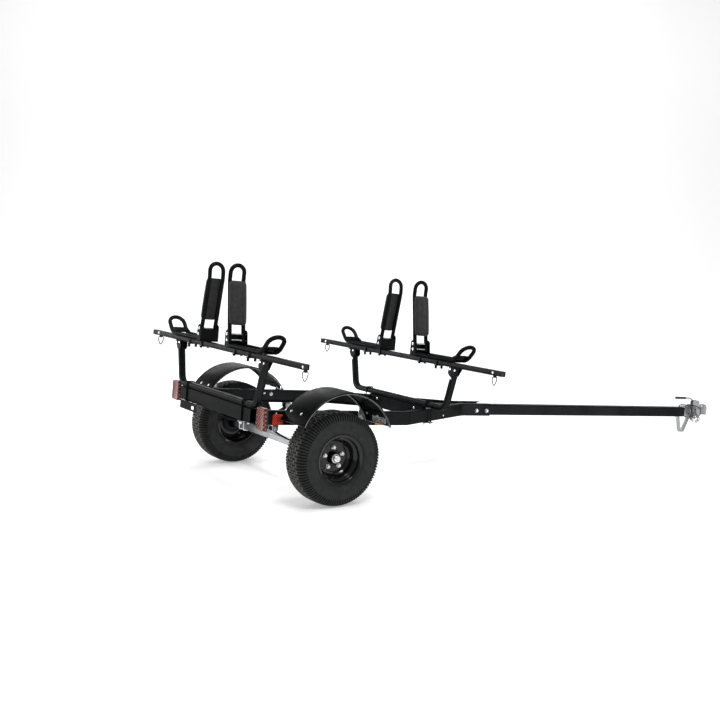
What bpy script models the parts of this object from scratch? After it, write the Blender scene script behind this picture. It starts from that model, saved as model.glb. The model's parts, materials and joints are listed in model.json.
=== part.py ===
"""Kayak trailer for two boats, carried on their sides in folding J cradles.

Units are metres. The trailer is drawn level: +X runs forward to the coupler, +Y to the left,
+Z up, with the ground at z = 0 below the axle. The chassis empty then tips the whole frame nose
down about the axle, until the tongue stand touches the ground, and puts the middle of the
trailer's length at the world origin.
"""

import math

import bmesh
import bpy
from mathutils import Matrix, Quaternion, Vector

# Fits
GAP = 0.0003
RUNNING_GAP = 0.0005
WELD = 0.0010

# Tyres and rims
TYRE_RADIUS = 0.2605
TYRE_WIDTH = 0.196
TRACK = 1.258
TREAD_INSET = 0.050
SHOULDER_DROP = 0.009
SHOULDER_INSET = 0.020
SIDE_HIGH_RADIUS = 0.228
SIDE_WIDEST_RADIUS = 0.190
SIDE_LOW_RADIUS = 0.158
SIDE_TUCK = 0.005
BEAD_LENGTH = 0.028
TREAD_WALL = 0.011
SIDE_WALL = 0.009
BEAD_RADIUS = 0.1268
RIM_WIDTH = 0.173
RIM_FLANGE_RADIUS = 0.143
RIM_SHEET = 0.0034
RIM_WELL_RADIUS = 0.1065
RIM_DISC_SHEET = 0.004
RIM_BORE_RADIUS = 0.0335
RIM_DISC_FLAT_RADIUS = 0.088
WHEEL_STEPS = 22

# Hubs
STUD_COUNT = 5
STUD_CIRCLE_RADIUS = 0.05715
STUD_RADIUS = 0.006
STUD_CLEARANCE = 0.0015
NUT_RADIUS = 0.0110
NUT_HEIGHT = 0.015
HUB_FLANGE_RADIUS = 0.070
HUB_FLANGE_THICKNESS = 0.010
HUB_BODY_RADIUS = 0.030
HUB_INNER_LENGTH = 0.068
HUB_OUTER_LENGTH = 0.030
HUB_CAVITY_RADIUS = 0.0205
HUB_CAVITY_DEPTH = 0.018
HUB_STEPS = 16
DUST_CAP_RADIUS = 0.0255
DUST_CAP_LENGTH = 0.022
DUST_CAP_SHEET = 0.0018

# Axle
AXLE_BAR = 0.040
AXLE_CORNER = 0.004
AXLE_SHOULDER_LENGTH = 0.0137
SPINDLE_RADIUS = 0.0125
SPINDLE_SHOULDER_RADIUS = 0.0165
SPINDLE_END = 0.0255
AXLE_NUT_RADIUS = 0.0165
AXLE_NUT_HEIGHT = 0.011

# Side rails
RAIL_HEIGHT = 0.080
RAIL_DEPTH = 0.040
RAIL_SHEET = 0.004
RAIL_BOTTOM = 0.412
RAIL_HALF_WIDTH = 0.470
RAIL_BEND_REAR_X = 0.600
RAIL_BEND_FRONT_X = 1.320
RAIL_FRONT_X = 1.560
RAIL_BEND_RADIUS = 0.120

# Cross beams and the support tubes that lie on them
REAR_X = -0.426
FRONT_X = 0.846
BEAM_WIDTH = 0.040
BEAM_HEIGHT = 0.080
BEAM_SHEET = 0.003
BEAM_CORNER = 0.004
BEAM_BOTTOM = 0.422
SUPPORT_WIDTH = 0.040
SUPPORT_THICKNESS = 0.034
SUPPORT_SHEET = 0.003
SUPPORT_CORNER = 0.008
SUPPORT_CORNER_Y = 0.499
SUPPORT_LEAN_DEG = 14.6
SUPPORT_BEND_RADIUS = 0.060
SEAT_LENGTH = 0.084
SEAT_SHEET = 0.004
VENT_RADIUS = 0.006
GUSSET_HEIGHT = 0.052
GUSSET_REACH = 0.034
GUSSET_SHEET = 0.0035

# U-bolts that clamp the support tubes
UBOLT_RADIUS = 0.004
UBOLT_BEND_RADIUS = 0.009
UBOLT_REAR_Y = 0.373
UBOLT_FRONT_Y = 0.333
UBOLT_PLATE_LENGTH = 0.074
UBOLT_PLATE_WIDTH = 0.026
UBOLT_PLATE_SHEET = 0.005
UBOLT_TAIL = 0.014
UBOLT_NUT_RADIUS = 0.0085
UBOLT_NUT_HEIGHT = 0.007

# Tongue, its bolts, coupler and stand
TONGUE_SIZE = 0.070
TONGUE_SHEET = 0.003
TONGUE_CORNER = 0.005
TONGUE_CENTRE_Z = 0.447
TONGUE_FRONT_X = 3.560
TONGUE_BOLT_X = (1.442, 1.528)
TONGUE_BOLT_RADIUS = 0.0065
TONGUE_BOLT_HEAD_RADIUS = 0.0115
TONGUE_BOLT_HEAD_HEIGHT = 0.008
COUPLER_INSERT = 0.110
COUPLER_SHEET = 0.004
COUPLER_NECK_FRONT_X = 3.777
COUPLER_NOSE_X = 3.839
COUPLER_DOME_RADIUS = 0.038
COUPLER_DOME_TOP = 0.509
COUPLER_DOME_BOTTOM = 0.429
BALL_RADIUS = 0.0254
SOCKET_CLEARANCE = 0.0008
LATCH_LUG_REAR_X = 3.676
LATCH_LUG_FRONT_X = 3.748
LATCH_LUG_TOP = 0.538
LATCH_LUG_SHEET = 0.004
LATCH_LUG_SPACING = 0.022
LEVER_PIVOT_X = 3.712
LEVER_PIVOT_Z = 0.522
LEVER_PIN_RADIUS = 0.004
LEVER_ROD_RADIUS = 0.004
LEVER_BOSS_RADIUS = 0.009
LEVER_BEND_RADIUS = 0.030
LEVER_TOP_Z = 0.554
GRIP_RADIUS = 0.0095
GRIP_REAR_X = 3.483
GRIP_FRONT_X = 3.596
STAND_STRAP = 0.006
STAND_WIDTH = 0.034
STAND_BOTTOM = 0.291
STAND_BEND_RADIUS = 0.024
STAND_FOOT_X = 3.578
STAND_REAR_LEG_X = 3.529
STAND_FRONT_LEG_X = 3.652
STAND_FLANGE = 0.032

# Leaf springs, hangers and axle clamps
SPRING_Y = 0.445
SPRING_EYE_X = 0.285
SPRING_WIDTH = 0.0445
SPRING_LEAF = 0.007
SPRING_EYE_RADIUS = 0.0135
SPRING_EYE_BORE = 0.0075
SECOND_LEAF_HALF_LENGTH = 0.165
HANGER_WIDTH = 0.036
HANGER_SHEET = 0.004
HANGER_TOP_SHEET = 0.006
HANGER_DROP = 0.040
HANGER_BOLT_RADIUS = 0.0065
HANGER_NUT_RADIUS = 0.0105
HANGER_NUT_HEIGHT = 0.009
CLAMP_ROD_RADIUS = 0.0045
CLAMP_BEND_RADIUS = 0.008
CLAMP_PLATE_X = 0.036
CLAMP_PLATE_Y = 0.040
CLAMP_PLATE_SHEET = 0.006
CLAMP_NUT_RADIUS = 0.0095
CLAMP_NUT_HEIGHT = 0.008
CLAMP_TAIL = 0.006

# Load bars and their tie rings
BAR_LENGTH = 1.981
BAR_WIDTH = 0.034
BAR_HEIGHT = 0.030
BAR_SHEET = 0.002
BAR_CORNER = 0.003
BAR_CENTRE_Z = 0.7875
RING_WIRE_RADIUS = 0.0020
RING_WIDTH = 0.038
RING_HEIGHT = 0.050
RING_TOP_WIDTH = 0.030
RING_DROP = 0.0085
RING_TAB_WIDTH = 0.018
RING_TAB_THICKNESS = 0.009
RING_TAB_HEIGHT = 0.0130
RING_INSET = {"rear_left": 0.097, "rear_right": 0.008, "front_left": 0.070, "front_right": 0.070}

# J cradles
CRADLE_TUBE_RADIUS = 0.012
CRADLE_HOOK_SPACING = 0.096
CRADLE_ARM_SPACING = 0.084
CRADLE_RUN_Y = 0.222
CRADLE_HOOK_Y = 0.558
CRADLE_HOOK_ANGLE_DEG = 47.0
CRADLE_HOOK_RADIUS = 0.090
CRADLE_HOOK_LENGTH = 0.036
CRADLE_PLATE_SHEET = 0.0035
CRADLE_PLATE_INNER_Y = 0.160
CRADLE_PLATE_OUTER_Y = 0.537
CRADLE_CLAMP_Y = (0.222, 0.395)
CRADLE_CLAMP_LENGTH = 0.024
CRADLE_CLAMP_SHEET = 0.005
CRADLE_BOLT_RADIUS = 0.004
CRADLE_BOLT_TAIL = 0.018
CRADLE_SADDLE_START_DEG = 8.0
CRADLE_SADDLE_END_DEG = 40.0
CRADLE_SADDLE_SINK = 0.008
CRADLE_SADDLE_RISE = 0.004
CRADLE_SADDLE_CROWN = 0.005
CRADLE_SADDLE_EDGE = 0.004
CRADLE_PIVOT_Y = 0.193
CRADLE_PIVOT_RISE = 0.0425
CRADLE_PIVOT_RADIUS = 0.005
CRADLE_CHEEK_GAP = 0.001
CRADLE_CHEEK_SHEET = 0.0035
CRADLE_CHEEK_RADIUS = 0.022
CRADLE_CHEEK_BACK = 0.0275
CRADLE_CHEEK_FOOT = 0.030
CRADLE_ARM_LENGTH = 0.430
CRADLE_ARM_LEAN_DEG = 10.0
CRADLE_ARM_HEEL = 0.013
CRADLE_ARM_CURL = 0.010
CRADLE_LOCK_BOLT_RISE = 0.035
CRADLE_BOLT_END = 0.004
PAD_START = 0.083
PAD_LENGTH = 0.250
PAD_WIDTH = 0.108
PAD_THICKNESS = 0.022

# Fenders
FENDER_RADIUS = 0.306
FENDER_CENTRE_X = 0.018
FENDER_CENTRE_Z = 0.326
FENDER_END_DEG = 67.0
FENDER_INNER_Y = 0.478
FENDER_OUTER_Y = 0.735
FENDER_SHEET = 0.0025
FENDER_LIP = 0.012
FENDER_LIP_ROLL = 0.004
BRACE_ANGLE_DEG = 53.0
BRACE_WIDTH = 0.028
BRACE_SHEET = 0.004
BRACE_FOOT_HEIGHT = 0.052

# Lamps
LENS_CORNER = 0.009
LENS_EDGE = 0.005
LAMP_INNER_Y = 0.527
LAMP_WIDTH = 0.092
LAMP_HEIGHT = 0.122
LAMP_BOTTOM = 0.401
LAMP_DEPTH = 0.024
LAMP_PLATE_X = -0.416
LAMP_PLATE_SHEET = 0.004
LAMP_PLATE_OUTER_Y = 0.612
LAMP_PLATE_FRONT_X = -0.332
LAMP_PLATE_BOTTOM = 0.418
LAMP_PLATE_TOP = 0.492
RED_MARKER_X = -0.276
RED_MARKER_LENGTH = 0.066
RED_MARKER_HEIGHT = 0.060
RED_MARKER_CENTRE_Z = 0.443
RED_MARKER_DEPTH = 0.0072
AMBER_MARKER_X = 0.404
AMBER_MARKER_LENGTH = 0.088
AMBER_MARKER_HEIGHT = 0.028
AMBER_MARKER_CENTRE_Z = 0.428
AMBER_MARKER_DEPTH = 0.020

# Safety chain
CHAIN_WIRE_RADIUS = 0.0030
CHAIN_LINK_LENGTH = 0.0330
CHAIN_LINK_WIDTH = 0.0200
CHAIN_OVERLAP = 0.0006
CHAIN_CLEARANCE = 0.003
CHAIN_BEND_RADIUS = 0.015
CHAIN_LINKS = 11

SIDES = (("left", 1), ("right", -1))
ENDS = (("rear", REAR_X), ("front", FRONT_X))

# Sizes that follow from the ones above
AXLE_Z = TYRE_RADIUS
HUB_Y = TRACK / 2
HUB_INNER_END = HUB_Y - RIM_DISC_SHEET / 2 - GAP - HUB_INNER_LENGTH
AXLE_BAR_END = HUB_INNER_END - AXLE_SHOULDER_LENGTH
RAIL_TOP = RAIL_BOTTOM + RAIL_HEIGHT
BEAM_TOP = BEAM_BOTTOM + BEAM_HEIGHT
SUPPORT_RUN_Z = BEAM_TOP + GAP + SUPPORT_THICKNESS / 2
BAR_BOTTOM = BAR_CENTRE_Z - BAR_HEIGHT / 2
BAR_TOP = BAR_CENTRE_Z + BAR_HEIGHT / 2
SEAT_TOP = BAR_BOTTOM - GAP
SUPPORT_TOP = SEAT_TOP - SEAT_SHEET / 2
RAIL_FRONT_Y = TONGUE_SIZE / 2 + GAP + RAIL_DEPTH
TONGUE_REAR_X = FRONT_X + BEAM_WIDTH / 2 + GAP
TONGUE_BOTTOM = TONGUE_CENTRE_Z - TONGUE_SIZE / 2
COUPLER_SIZE = TONGUE_SIZE - 2 * TONGUE_SHEET - 2 * RUNNING_GAP
COUPLER_TOP = TONGUE_CENTRE_Z + COUPLER_SIZE / 2
COUPLER_BOTTOM = TONGUE_CENTRE_Z - COUPLER_SIZE / 2
BALL_X = COUPLER_NOSE_X - COUPLER_DOME_RADIUS
SECOND_LEAF_Z = AXLE_Z + AXLE_BAR / 2 + GAP + SPRING_LEAF / 2
MAIN_LEAF_Z = SECOND_LEAF_Z + SPRING_LEAF - GAP
SPRING_EYE_Z = RAIL_BOTTOM - GAP - HANGER_TOP_SHEET - GAP - SPRING_EYE_RADIUS
LEAF_END_Z = SPRING_EYE_Z - SPRING_EYE_RADIUS + SPRING_LEAF / 2
CRADLE_PLATE_BOTTOM = BAR_TOP + GAP
CRADLE_PLATE_TOP = CRADLE_PLATE_BOTTOM + CRADLE_PLATE_SHEET
CRADLE_RUN_Z = CRADLE_PLATE_TOP + CRADLE_TUBE_RADIUS - WELD
CRADLE_PIVOT_Z = BAR_TOP + CRADLE_PIVOT_RISE
CRADLE_CHEEK_X = CRADLE_ARM_SPACING / 2 + CRADLE_TUBE_RADIUS + CRADLE_CHEEK_GAP
RIM_SEAT_RADIUS = BEAD_RADIUS - GAP * 2
RIM_HALF = RIM_WIDTH / 2
FLAT_TO_CORNER = 1 / math.cos(math.pi / WHEEL_STEPS)

# The stand's lowest point and the tyres touch the ground together
STAND_CENTRE_Z = STAND_BOTTOM + STAND_BEND_RADIUS + STAND_STRAP / 2
STAND_RISE = STAND_CENTRE_Z - AXLE_Z
STAND_OUTER_RADIUS = STAND_BEND_RADIUS + STAND_STRAP / 2
NOSE_DOWN = math.asin(
    (TYRE_RADIUS - STAND_OUTER_RADIUS) / math.hypot(STAND_FOOT_X, STAND_RISE)
) + math.atan2(STAND_RISE, STAND_FOOT_X)


def clear_scene():
    for scene_object in list(bpy.data.objects):
        bpy.data.objects.remove(scene_object, do_unlink=True)


def make_material(name, colour, roughness, metallic=0.0):
    material = bpy.data.materials.new(name)
    material.use_nodes = True
    shader = material.node_tree.nodes["Principled BSDF"]
    shader.inputs["Base Color"].default_value = (*colour, 1.0)
    shader.inputs["Roughness"].default_value = roughness
    shader.inputs["Metallic"].default_value = metallic
    material.diffuse_color = (*colour, 1.0)
    return material


def make_empty(name, location, tilt=0.0):
    empty = bpy.data.objects.new(name, None)
    empty.location = location
    empty.rotation_euler = (0.0, tilt, 0.0)
    bpy.context.scene.collection.objects.link(empty)
    return empty


def add_faces_between(bm, ring, next_ring):
    count = len(ring)
    for i in range(count):
        j = (i + 1) % count
        corners = (ring[i], ring[j], next_ring[j], next_ring[i])
        bm.faces.new([v for n, v in enumerate(corners) if v not in corners[:n]])


def loft(bm, rings, closed=False, hollow=None):
    """Skins rings of points. With hollow rings, the shape is a tube with open ends."""
    outer = [[bm.verts.new(p) for p in ring] for ring in rings]
    pairs = list(zip(outer, outer[1:]))
    if closed:
        pairs.append((outer[-1], outer[0]))
    for ring, next_ring in pairs:
        add_faces_between(bm, ring, next_ring)
    if hollow:
        inner = [[bm.verts.new(p) for p in ring] for ring in hollow]
        for ring, next_ring in zip(inner, inner[1:]):
            add_faces_between(bm, next_ring, ring)
        add_faces_between(bm, inner[0], outer[0])
        add_faces_between(bm, outer[-1], inner[-1])
    elif not closed:
        bm.faces.new(outer[0][::-1])
        bm.faces.new(outer[-1])


def bent_path(points, radius, steps):
    """The points as vectors, with each corner replaced by an arc of the radius."""
    points = [Vector(p) for p in points]
    path = [points[0]]
    for before, corner, after in zip(points, points[1:], points[2:]):
        inward = (before - corner).normalized()
        outward = (after - corner).normalized()
        turn = math.pi - inward.angle(outward)
        start = corner + inward * radius * math.tan(turn / 2)
        axis = (-inward).cross(outward).normalized()
        centre = start + axis.cross(-inward) * radius
        for step in range(steps + 1):
            spoke = start - centre
            spoke.rotate(Quaternion(axis, turn * step / steps))
            path.append(centre + spoke)
    path.append(points[-1])
    return path


def arc_points(centre, radius, start_deg, end_deg, steps):
    """Points (a, b) along an arc, both ends included."""
    angles = [math.radians(start_deg + (end_deg - start_deg) * i / steps) for i in range(steps + 1)]
    return [(centre[0] + radius * math.cos(a), centre[1] + radius * math.sin(a)) for a in angles]


def round_rectangle(width, height, radius, steps=1):
    """Section points (a, b) of a rectangle with round corners, centred on zero."""
    points = []
    for number, (x, y) in enumerate(((1, 1), (-1, 1), (-1, -1), (1, -1))):
        centre = (x * (width / 2 - radius), y * (height / 2 - radius))
        points += arc_points(centre, radius, 90 * number, 90 * number + 90, steps)
    return points


def circle_section(radius, steps):
    return arc_points((0, 0), radius, 0, 360 - 360 / steps, steps - 1)


def section_rings(section, path, normal, closed=False):
    """Section point (a, b) goes a along the normal and b along normal x tangent."""
    normal = Vector(normal)
    path = [Vector(p) for p in path]
    rings = []
    for i, point in enumerate(path):
        last = len(path) - 1
        before = path[i - 1] if i > 0 or closed else point
        after = path[(i + 1) % len(path)] if i < last or closed else point
        into = (point - before).normalized() if before != point else (after - point).normalized()
        onward = (after - point).normalized() if after != point else into
        tangent = (into + onward).normalized()
        stretch = 1 / max(tangent.dot(into), 0.2)
        sideways = normal.cross(tangent) * stretch
        rings.append([point + normal * a + sideways * b for a, b in section])
    return rings


def sweep(bm, section, path, normal, closed=False, hollow=None):
    inner = section_rings(hollow, path, normal) if hollow else None
    loft(bm, section_rings(section, path, normal, closed), closed, inner)


def round_sweep(bm, radius, path, steps):
    """A round rod along any path, without twist."""
    path = [Vector(p) for p in path]
    last = len(path) - 1
    tangents = [(path[min(i + 1, last)] - path[max(i - 1, 0)]).normalized() for i in range(last + 1)]
    side = tangents[0].orthogonal().normalized()
    rings = []
    for i, (point, tangent) in enumerate(zip(path, tangents)):
        if i:
            side.rotate(tangents[i - 1].rotation_difference(tangent))
        up = tangent.cross(side)
        rings.append([point + side * a + up * b for a, b in circle_section(radius, steps)])
    loft(bm, rings)


def revolve(bm, profile, centre, axis, steps, ring_shaped=False, start_deg=0.0):
    """Turns profile points (radius, distance along the axis) about the axis."""
    axis = Vector(axis)
    centre = Vector(centre)
    across = Vector((0, 0, 1)) if abs(axis.z) < 0.5 else Vector((1, 0, 0))
    rings = []
    for radius, along in profile:
        ring = []
        for step in range(steps):
            spoke = across.copy()
            spoke.rotate(Quaternion(axis, math.radians(start_deg) + math.tau * step / steps))
            ring.append(centre + axis * along + spoke * radius)
        rings.append([centre + axis * along] if radius == 0 else ring)
    verts = [[bm.verts.new(p) for p in ring] for ring in rings]
    pairs = list(zip(verts, verts[1:]))
    if ring_shaped:
        pairs.append((verts[-1], verts[0]))
    for ring, next_ring in pairs:
        if len(ring) == 1 or len(next_ring) == 1:
            tip = (ring if len(ring) == 1 else next_ring)[0]
            rim = next_ring if len(ring) == 1 else ring
            for i in range(steps):
                bm.faces.new((tip, rim[i], rim[(i + 1) % steps]))
        else:
            add_faces_between(bm, ring, next_ring)


def add_cylinder(bm, radius, start, end, steps=8):
    length = (Vector(end) - Vector(start)).length
    axis = (Vector(end) - Vector(start)).normalized()
    revolve(bm, [(0, 0), (radius, 0), (radius, length), (0, length)], start, axis, steps)


def add_box(bm, x_range, y_range, z_range):
    low = Vector((min(x_range), min(y_range), min(z_range)))
    high = Vector((max(x_range), max(y_range), max(z_range)))
    size = high - low
    place = Matrix.Translation((low + high) / 2) @ Matrix.Diagonal((*size, 1.0))
    bmesh.ops.create_cube(bm, size=1.0, matrix=place)


def add_prism(bm, outline, direction, low, high):
    """Extrudes an outline along X, Y or Z. Its points hold the other two coordinates in order."""
    slot = "XYZ".index(direction)

    def place(point, depth):
        coordinates = list(point)
        coordinates.insert(slot, depth)
        return Vector(coordinates)

    loft(bm, [[place(p, low) for p in outline], [place(p, high) for p in outline]])


def finish(name, bm, material, origin, parent, smooth_deg=40.0):
    """Turns the shape, drawn in the level trailer's coordinates, into an object with this origin."""
    bmesh.ops.recalc_face_normals(bm, faces=bm.faces)
    bmesh.ops.translate(bm, vec=-Vector(origin), verts=bm.verts)
    mesh = bpy.data.meshes.new(name)
    bm.to_mesh(mesh)
    bm.free()
    mesh.shade_smooth()
    mesh.set_sharp_from_angle(angle=math.radians(smooth_deg))
    mesh.materials.append(material)
    made = bpy.data.objects.new(name, mesh)
    made.location = origin
    made.parent = parent
    bpy.context.scene.collection.objects.link(made)
    return made


def combine(target, bm, operation):
    """Cuts the shape from the target, or joins it on, with a hidden helper object."""
    helper = finish(
        target.name + "_" + operation.lower(), bm, target.data.materials[0], (0, 0, 0), target.parent
    )
    helper.hide_render = True
    helper.display_type = "WIRE"
    helper.hide_set(True)
    modifier = target.modifiers.new(operation.title(), "BOOLEAN")
    modifier.operation = operation
    modifier.solver = "EXACT"
    modifier.object = helper


def cut(target, bm):
    combine(target, bm, "DIFFERENCE")


def join(target, bm):
    combine(target, bm, "UNION")


def stud_centres(side):
    """Centres of the studs on the mounting face of the hub, the first one straight up."""
    places = []
    for number in range(STUD_COUNT):
        angle = math.tau * number / STUD_COUNT
        places.append(
            Vector(
                (
                    STUD_CIRCLE_RADIUS * math.sin(angle),
                    side * HUB_Y,
                    AXLE_Z + STUD_CIRCLE_RADIUS * math.cos(angle),
                )
            )
        )
    return places


def revolve_wheel(bm, profile, side):
    """A wheel's ring, with one flat of its circumference straight below the axle."""
    profile = [(radius * FLAT_TO_CORNER, along) for radius, along in profile]
    centre = (0, side * HUB_Y, AXLE_Z)
    revolve(bm, profile, centre, (0, side, 0), WHEEL_STEPS, True, 180 / WHEEL_STEPS)


def make_tyre(side_name, side, wheel_axis, material):
    half = TYRE_WIDTH / 2
    bead_face = RIM_HALF - RIM_SHEET - GAP
    outer = [
        (BEAD_RADIUS, bead_face - BEAD_LENGTH),
        (BEAD_RADIUS, bead_face),
        (RIM_FLANGE_RADIUS + WELD, bead_face),
        (SIDE_LOW_RADIUS, half - SIDE_TUCK),
        (SIDE_WIDEST_RADIUS, half),
        (SIDE_HIGH_RADIUS, half - SIDE_TUCK),
        (TYRE_RADIUS - SHOULDER_DROP, half - SHOULDER_INSET),
        (TYRE_RADIUS, half - TREAD_INSET),
    ]
    inner = [
        (TYRE_RADIUS - TREAD_WALL, half - TREAD_INSET),
        (SIDE_HIGH_RADIUS - TREAD_WALL, half - SIDE_WALL - SIDE_TUCK),
        (SIDE_LOW_RADIUS - SIDE_WALL, half - SIDE_WALL - 2 * SIDE_TUCK),
    ]
    profile = outer + [(r, -w) for r, w in reversed(outer)] + [(r, -w) for r, w in reversed(inner)] + inner
    bm = bmesh.new()
    revolve_wheel(bm, profile, side)
    finish("tyre_" + side_name, bm, material, (0, side * HUB_Y, AXLE_Z), wheel_axis, 50.0)


def make_rim(side_name, side, wheel_axis, material):
    sheet = RIM_SHEET
    half = RIM_HALF
    disc = RIM_DISC_SHEET / 2
    well = RIM_WELL_RADIUS - sheet
    seat = RIM_SEAT_RADIUS - sheet
    visible = [
        (RIM_FLANGE_RADIUS, half),
        (seat, half - 0.007),
        (seat, half - 0.029),
        (well, half - 0.043),
        (well, 0.0120),
        (RIM_DISC_FLAT_RADIUS, disc),
        (RIM_BORE_RADIUS, disc),
        (RIM_BORE_RADIUS, -disc),
        (RIM_DISC_FLAT_RADIUS + 0.002, -disc),
        (well, 0.0060),
        (well, -half + 0.071),
        (seat, -half + 0.050),
        (seat, -half + 0.007),
        (RIM_FLANGE_RADIUS, -half),
    ]
    tyre_side = [
        (RIM_FLANGE_RADIUS, -half + sheet),
        (RIM_SEAT_RADIUS, -half + sheet),
        (RIM_SEAT_RADIUS, -half + 0.051),
        (RIM_WELL_RADIUS, -half + 0.072),
        (RIM_WELL_RADIUS, half - 0.044),
        (RIM_SEAT_RADIUS, half - 0.030),
        (RIM_SEAT_RADIUS, half - sheet),
        (RIM_FLANGE_RADIUS, half - sheet),
    ]
    bm = bmesh.new()
    centre = (0, side * HUB_Y, AXLE_Z)
    revolve_wheel(bm, visible + tyre_side, side)
    rim = finish("rim_" + side_name, bm, material, centre, wheel_axis, 30.0)
    holes = bmesh.new()
    reach = Vector((0, side * (disc + WELD), 0))
    for place in stud_centres(side):
        add_cylinder(holes, STUD_RADIUS + STUD_CLEARANCE, place - reach, place + reach)
    cut(rim, holes)


def make_hub(side_name, side, wheel_axis, material):
    """The hub with its pressed bearings, studs and lug nuts, which clamp the rim's disc."""
    face = -RIM_DISC_SHEET / 2 - GAP
    bore = (SPINDLE_RADIUS + RUNNING_GAP) / math.cos(math.pi / HUB_STEPS)
    floor = HUB_OUTER_LENGTH - HUB_CAVITY_DEPTH
    barrel = RIM_BORE_RADIUS - STUD_CLEARANCE
    profile = [
        (bore, face - HUB_INNER_LENGTH),
        (HUB_BODY_RADIUS, face - HUB_INNER_LENGTH),
        (HUB_BODY_RADIUS, face - HUB_FLANGE_THICKNESS),
        (HUB_FLANGE_RADIUS, face - HUB_FLANGE_THICKNESS),
        (HUB_FLANGE_RADIUS, face),
        (barrel, face),
        (barrel, HUB_OUTER_LENGTH),
        (HUB_CAVITY_RADIUS, HUB_OUTER_LENGTH),
        (HUB_CAVITY_RADIUS, floor),
        (bore, floor),
    ]
    bm = bmesh.new()
    centre = (0, side * HUB_Y, AXLE_Z)
    revolve(bm, profile, centre, (0, side, 0), HUB_STEPS, True)
    hub = finish("hub_" + side_name, bm, material, centre, wheel_axis, 30.0)
    studs = bmesh.new()
    nut_face = RIM_DISC_SHEET / 2 + GAP
    stud = [
        (0, face - HUB_FLANGE_THICKNESS / 2),
        (STUD_RADIUS, face - HUB_FLANGE_THICKNESS / 2),
        (STUD_RADIUS, nut_face),
        (NUT_RADIUS, nut_face),
        (NUT_RADIUS, nut_face + NUT_HEIGHT),
        (0, nut_face + NUT_HEIGHT),
    ]
    for place in stud_centres(side):
        revolve(studs, stud, place, (0, side, 0), 6)
    join(hub, studs)


def make_dust_cap(side_name, side, wheel_axis, material):
    """A pressed cup that closes the hub's outer end."""
    sheet = DUST_CAP_SHEET
    base = HUB_OUTER_LENGTH + GAP
    tip = base + DUST_CAP_LENGTH
    profile = [
        (0, tip),
        (DUST_CAP_RADIUS * 0.70, tip - 0.002),
        (DUST_CAP_RADIUS - 0.004, base + 0.012),
        (DUST_CAP_RADIUS - 0.004, base + 0.003),
        (DUST_CAP_RADIUS, base + 0.003),
        (DUST_CAP_RADIUS, base),
        (DUST_CAP_RADIUS - 0.004 - sheet, base),
        (DUST_CAP_RADIUS - 0.004 - sheet, base + 0.010),
        (0, tip - 0.002 - sheet),
    ]
    bm = bmesh.new()
    centre = (0, side * HUB_Y, AXLE_Z)
    revolve(bm, profile, centre, (0, side, 0), HUB_STEPS)
    finish("dust_cap_" + side_name, bm, material, centre, wheel_axis, 50.0)


def make_axle(chassis, material):
    """Square bar with a turned spindle and its castle nut at each end."""
    end = AXLE_BAR_END
    bm = bmesh.new()
    section = round_rectangle(AXLE_BAR, AXLE_BAR, AXLE_CORNER)
    sweep(bm, section, [(0, -end, AXLE_Z), (0, end, AXLE_Z)], (1, 0, 0))
    axle = finish("axle_beam", bm, material, (0, 0, AXLE_Z), chassis, 30.0)
    spindles = bmesh.new()
    shoulder = HUB_INNER_END - RUNNING_GAP
    nut = HUB_Y + HUB_OUTER_LENGTH - HUB_CAVITY_DEPTH + RUNNING_GAP
    tip = HUB_Y + SPINDLE_END
    profile = [
        (0, end - SPINDLE_SHOULDER_RADIUS),
        (SPINDLE_SHOULDER_RADIUS, end - SPINDLE_SHOULDER_RADIUS),
        (SPINDLE_SHOULDER_RADIUS, shoulder),
        (SPINDLE_RADIUS, shoulder),
        (SPINDLE_RADIUS, nut),
        (AXLE_NUT_RADIUS, nut),
        (AXLE_NUT_RADIUS, nut + AXLE_NUT_HEIGHT),
        (SPINDLE_RADIUS, nut + AXLE_NUT_HEIGHT),
        (SPINDLE_RADIUS, tip),
        (0, tip),
    ]
    for _, side in SIDES:
        revolve(spindles, profile, (0, 0, AXLE_Z), (0, side, 0), 12)
    join(axle, spindles)


def leaf_height(x, centre_z):
    rise = LEAF_END_Z - MAIN_LEAF_Z
    return centre_z + rise * (x / SPRING_EYE_X) ** 2


def leaf_path(half_length, centre_z, steps, y):
    xs = [half_length * (2 * i / steps - 1) for i in range(steps + 1)]
    return [(x, y, leaf_height(x, centre_z)) for x in xs]


def make_leaf_spring(side_name, side, chassis, material):
    """Main leaf with a rolled eye at each end, and a shorter leaf clipped below it."""
    y = side * SPRING_Y
    half_width, half_leaf = SPRING_WIDTH / 2, SPRING_LEAF / 2
    section = [
        (half_width, half_leaf),
        (-half_width, half_leaf),
        (-half_width, -half_leaf),
        (half_width, -half_leaf),
    ]
    bm = bmesh.new()
    sweep(bm, section, leaf_path(SPRING_EYE_X, MAIN_LEAF_Z, 14, y), (0, 1, 0))
    spring = finish("leaf_spring_" + side_name, bm, material, (0, y, MAIN_LEAF_Z), chassis)
    extra = bmesh.new()
    for end in (-1, 1):
        start = Vector((end * SPRING_EYE_X, y - SPRING_WIDTH / 2, SPRING_EYE_Z))
        add_cylinder(extra, SPRING_EYE_RADIUS, start, start + Vector((0, SPRING_WIDTH, 0)), 12)
    join(spring, extra)
    second = bmesh.new()
    sweep(second, section, leaf_path(SECOND_LEAF_HALF_LENGTH, SECOND_LEAF_Z, 6, y), (0, 1, 0))
    join(spring, second)
    bores = bmesh.new()
    for end in (-1, 1):
        start = Vector((end * SPRING_EYE_X, y - SPRING_WIDTH / 2 - WELD, SPRING_EYE_Z))
        add_cylinder(bores, SPRING_EYE_BORE, start, start + Vector((0, SPRING_WIDTH + 2 * WELD, 0)), 10)
    cut(spring, bores)


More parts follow.
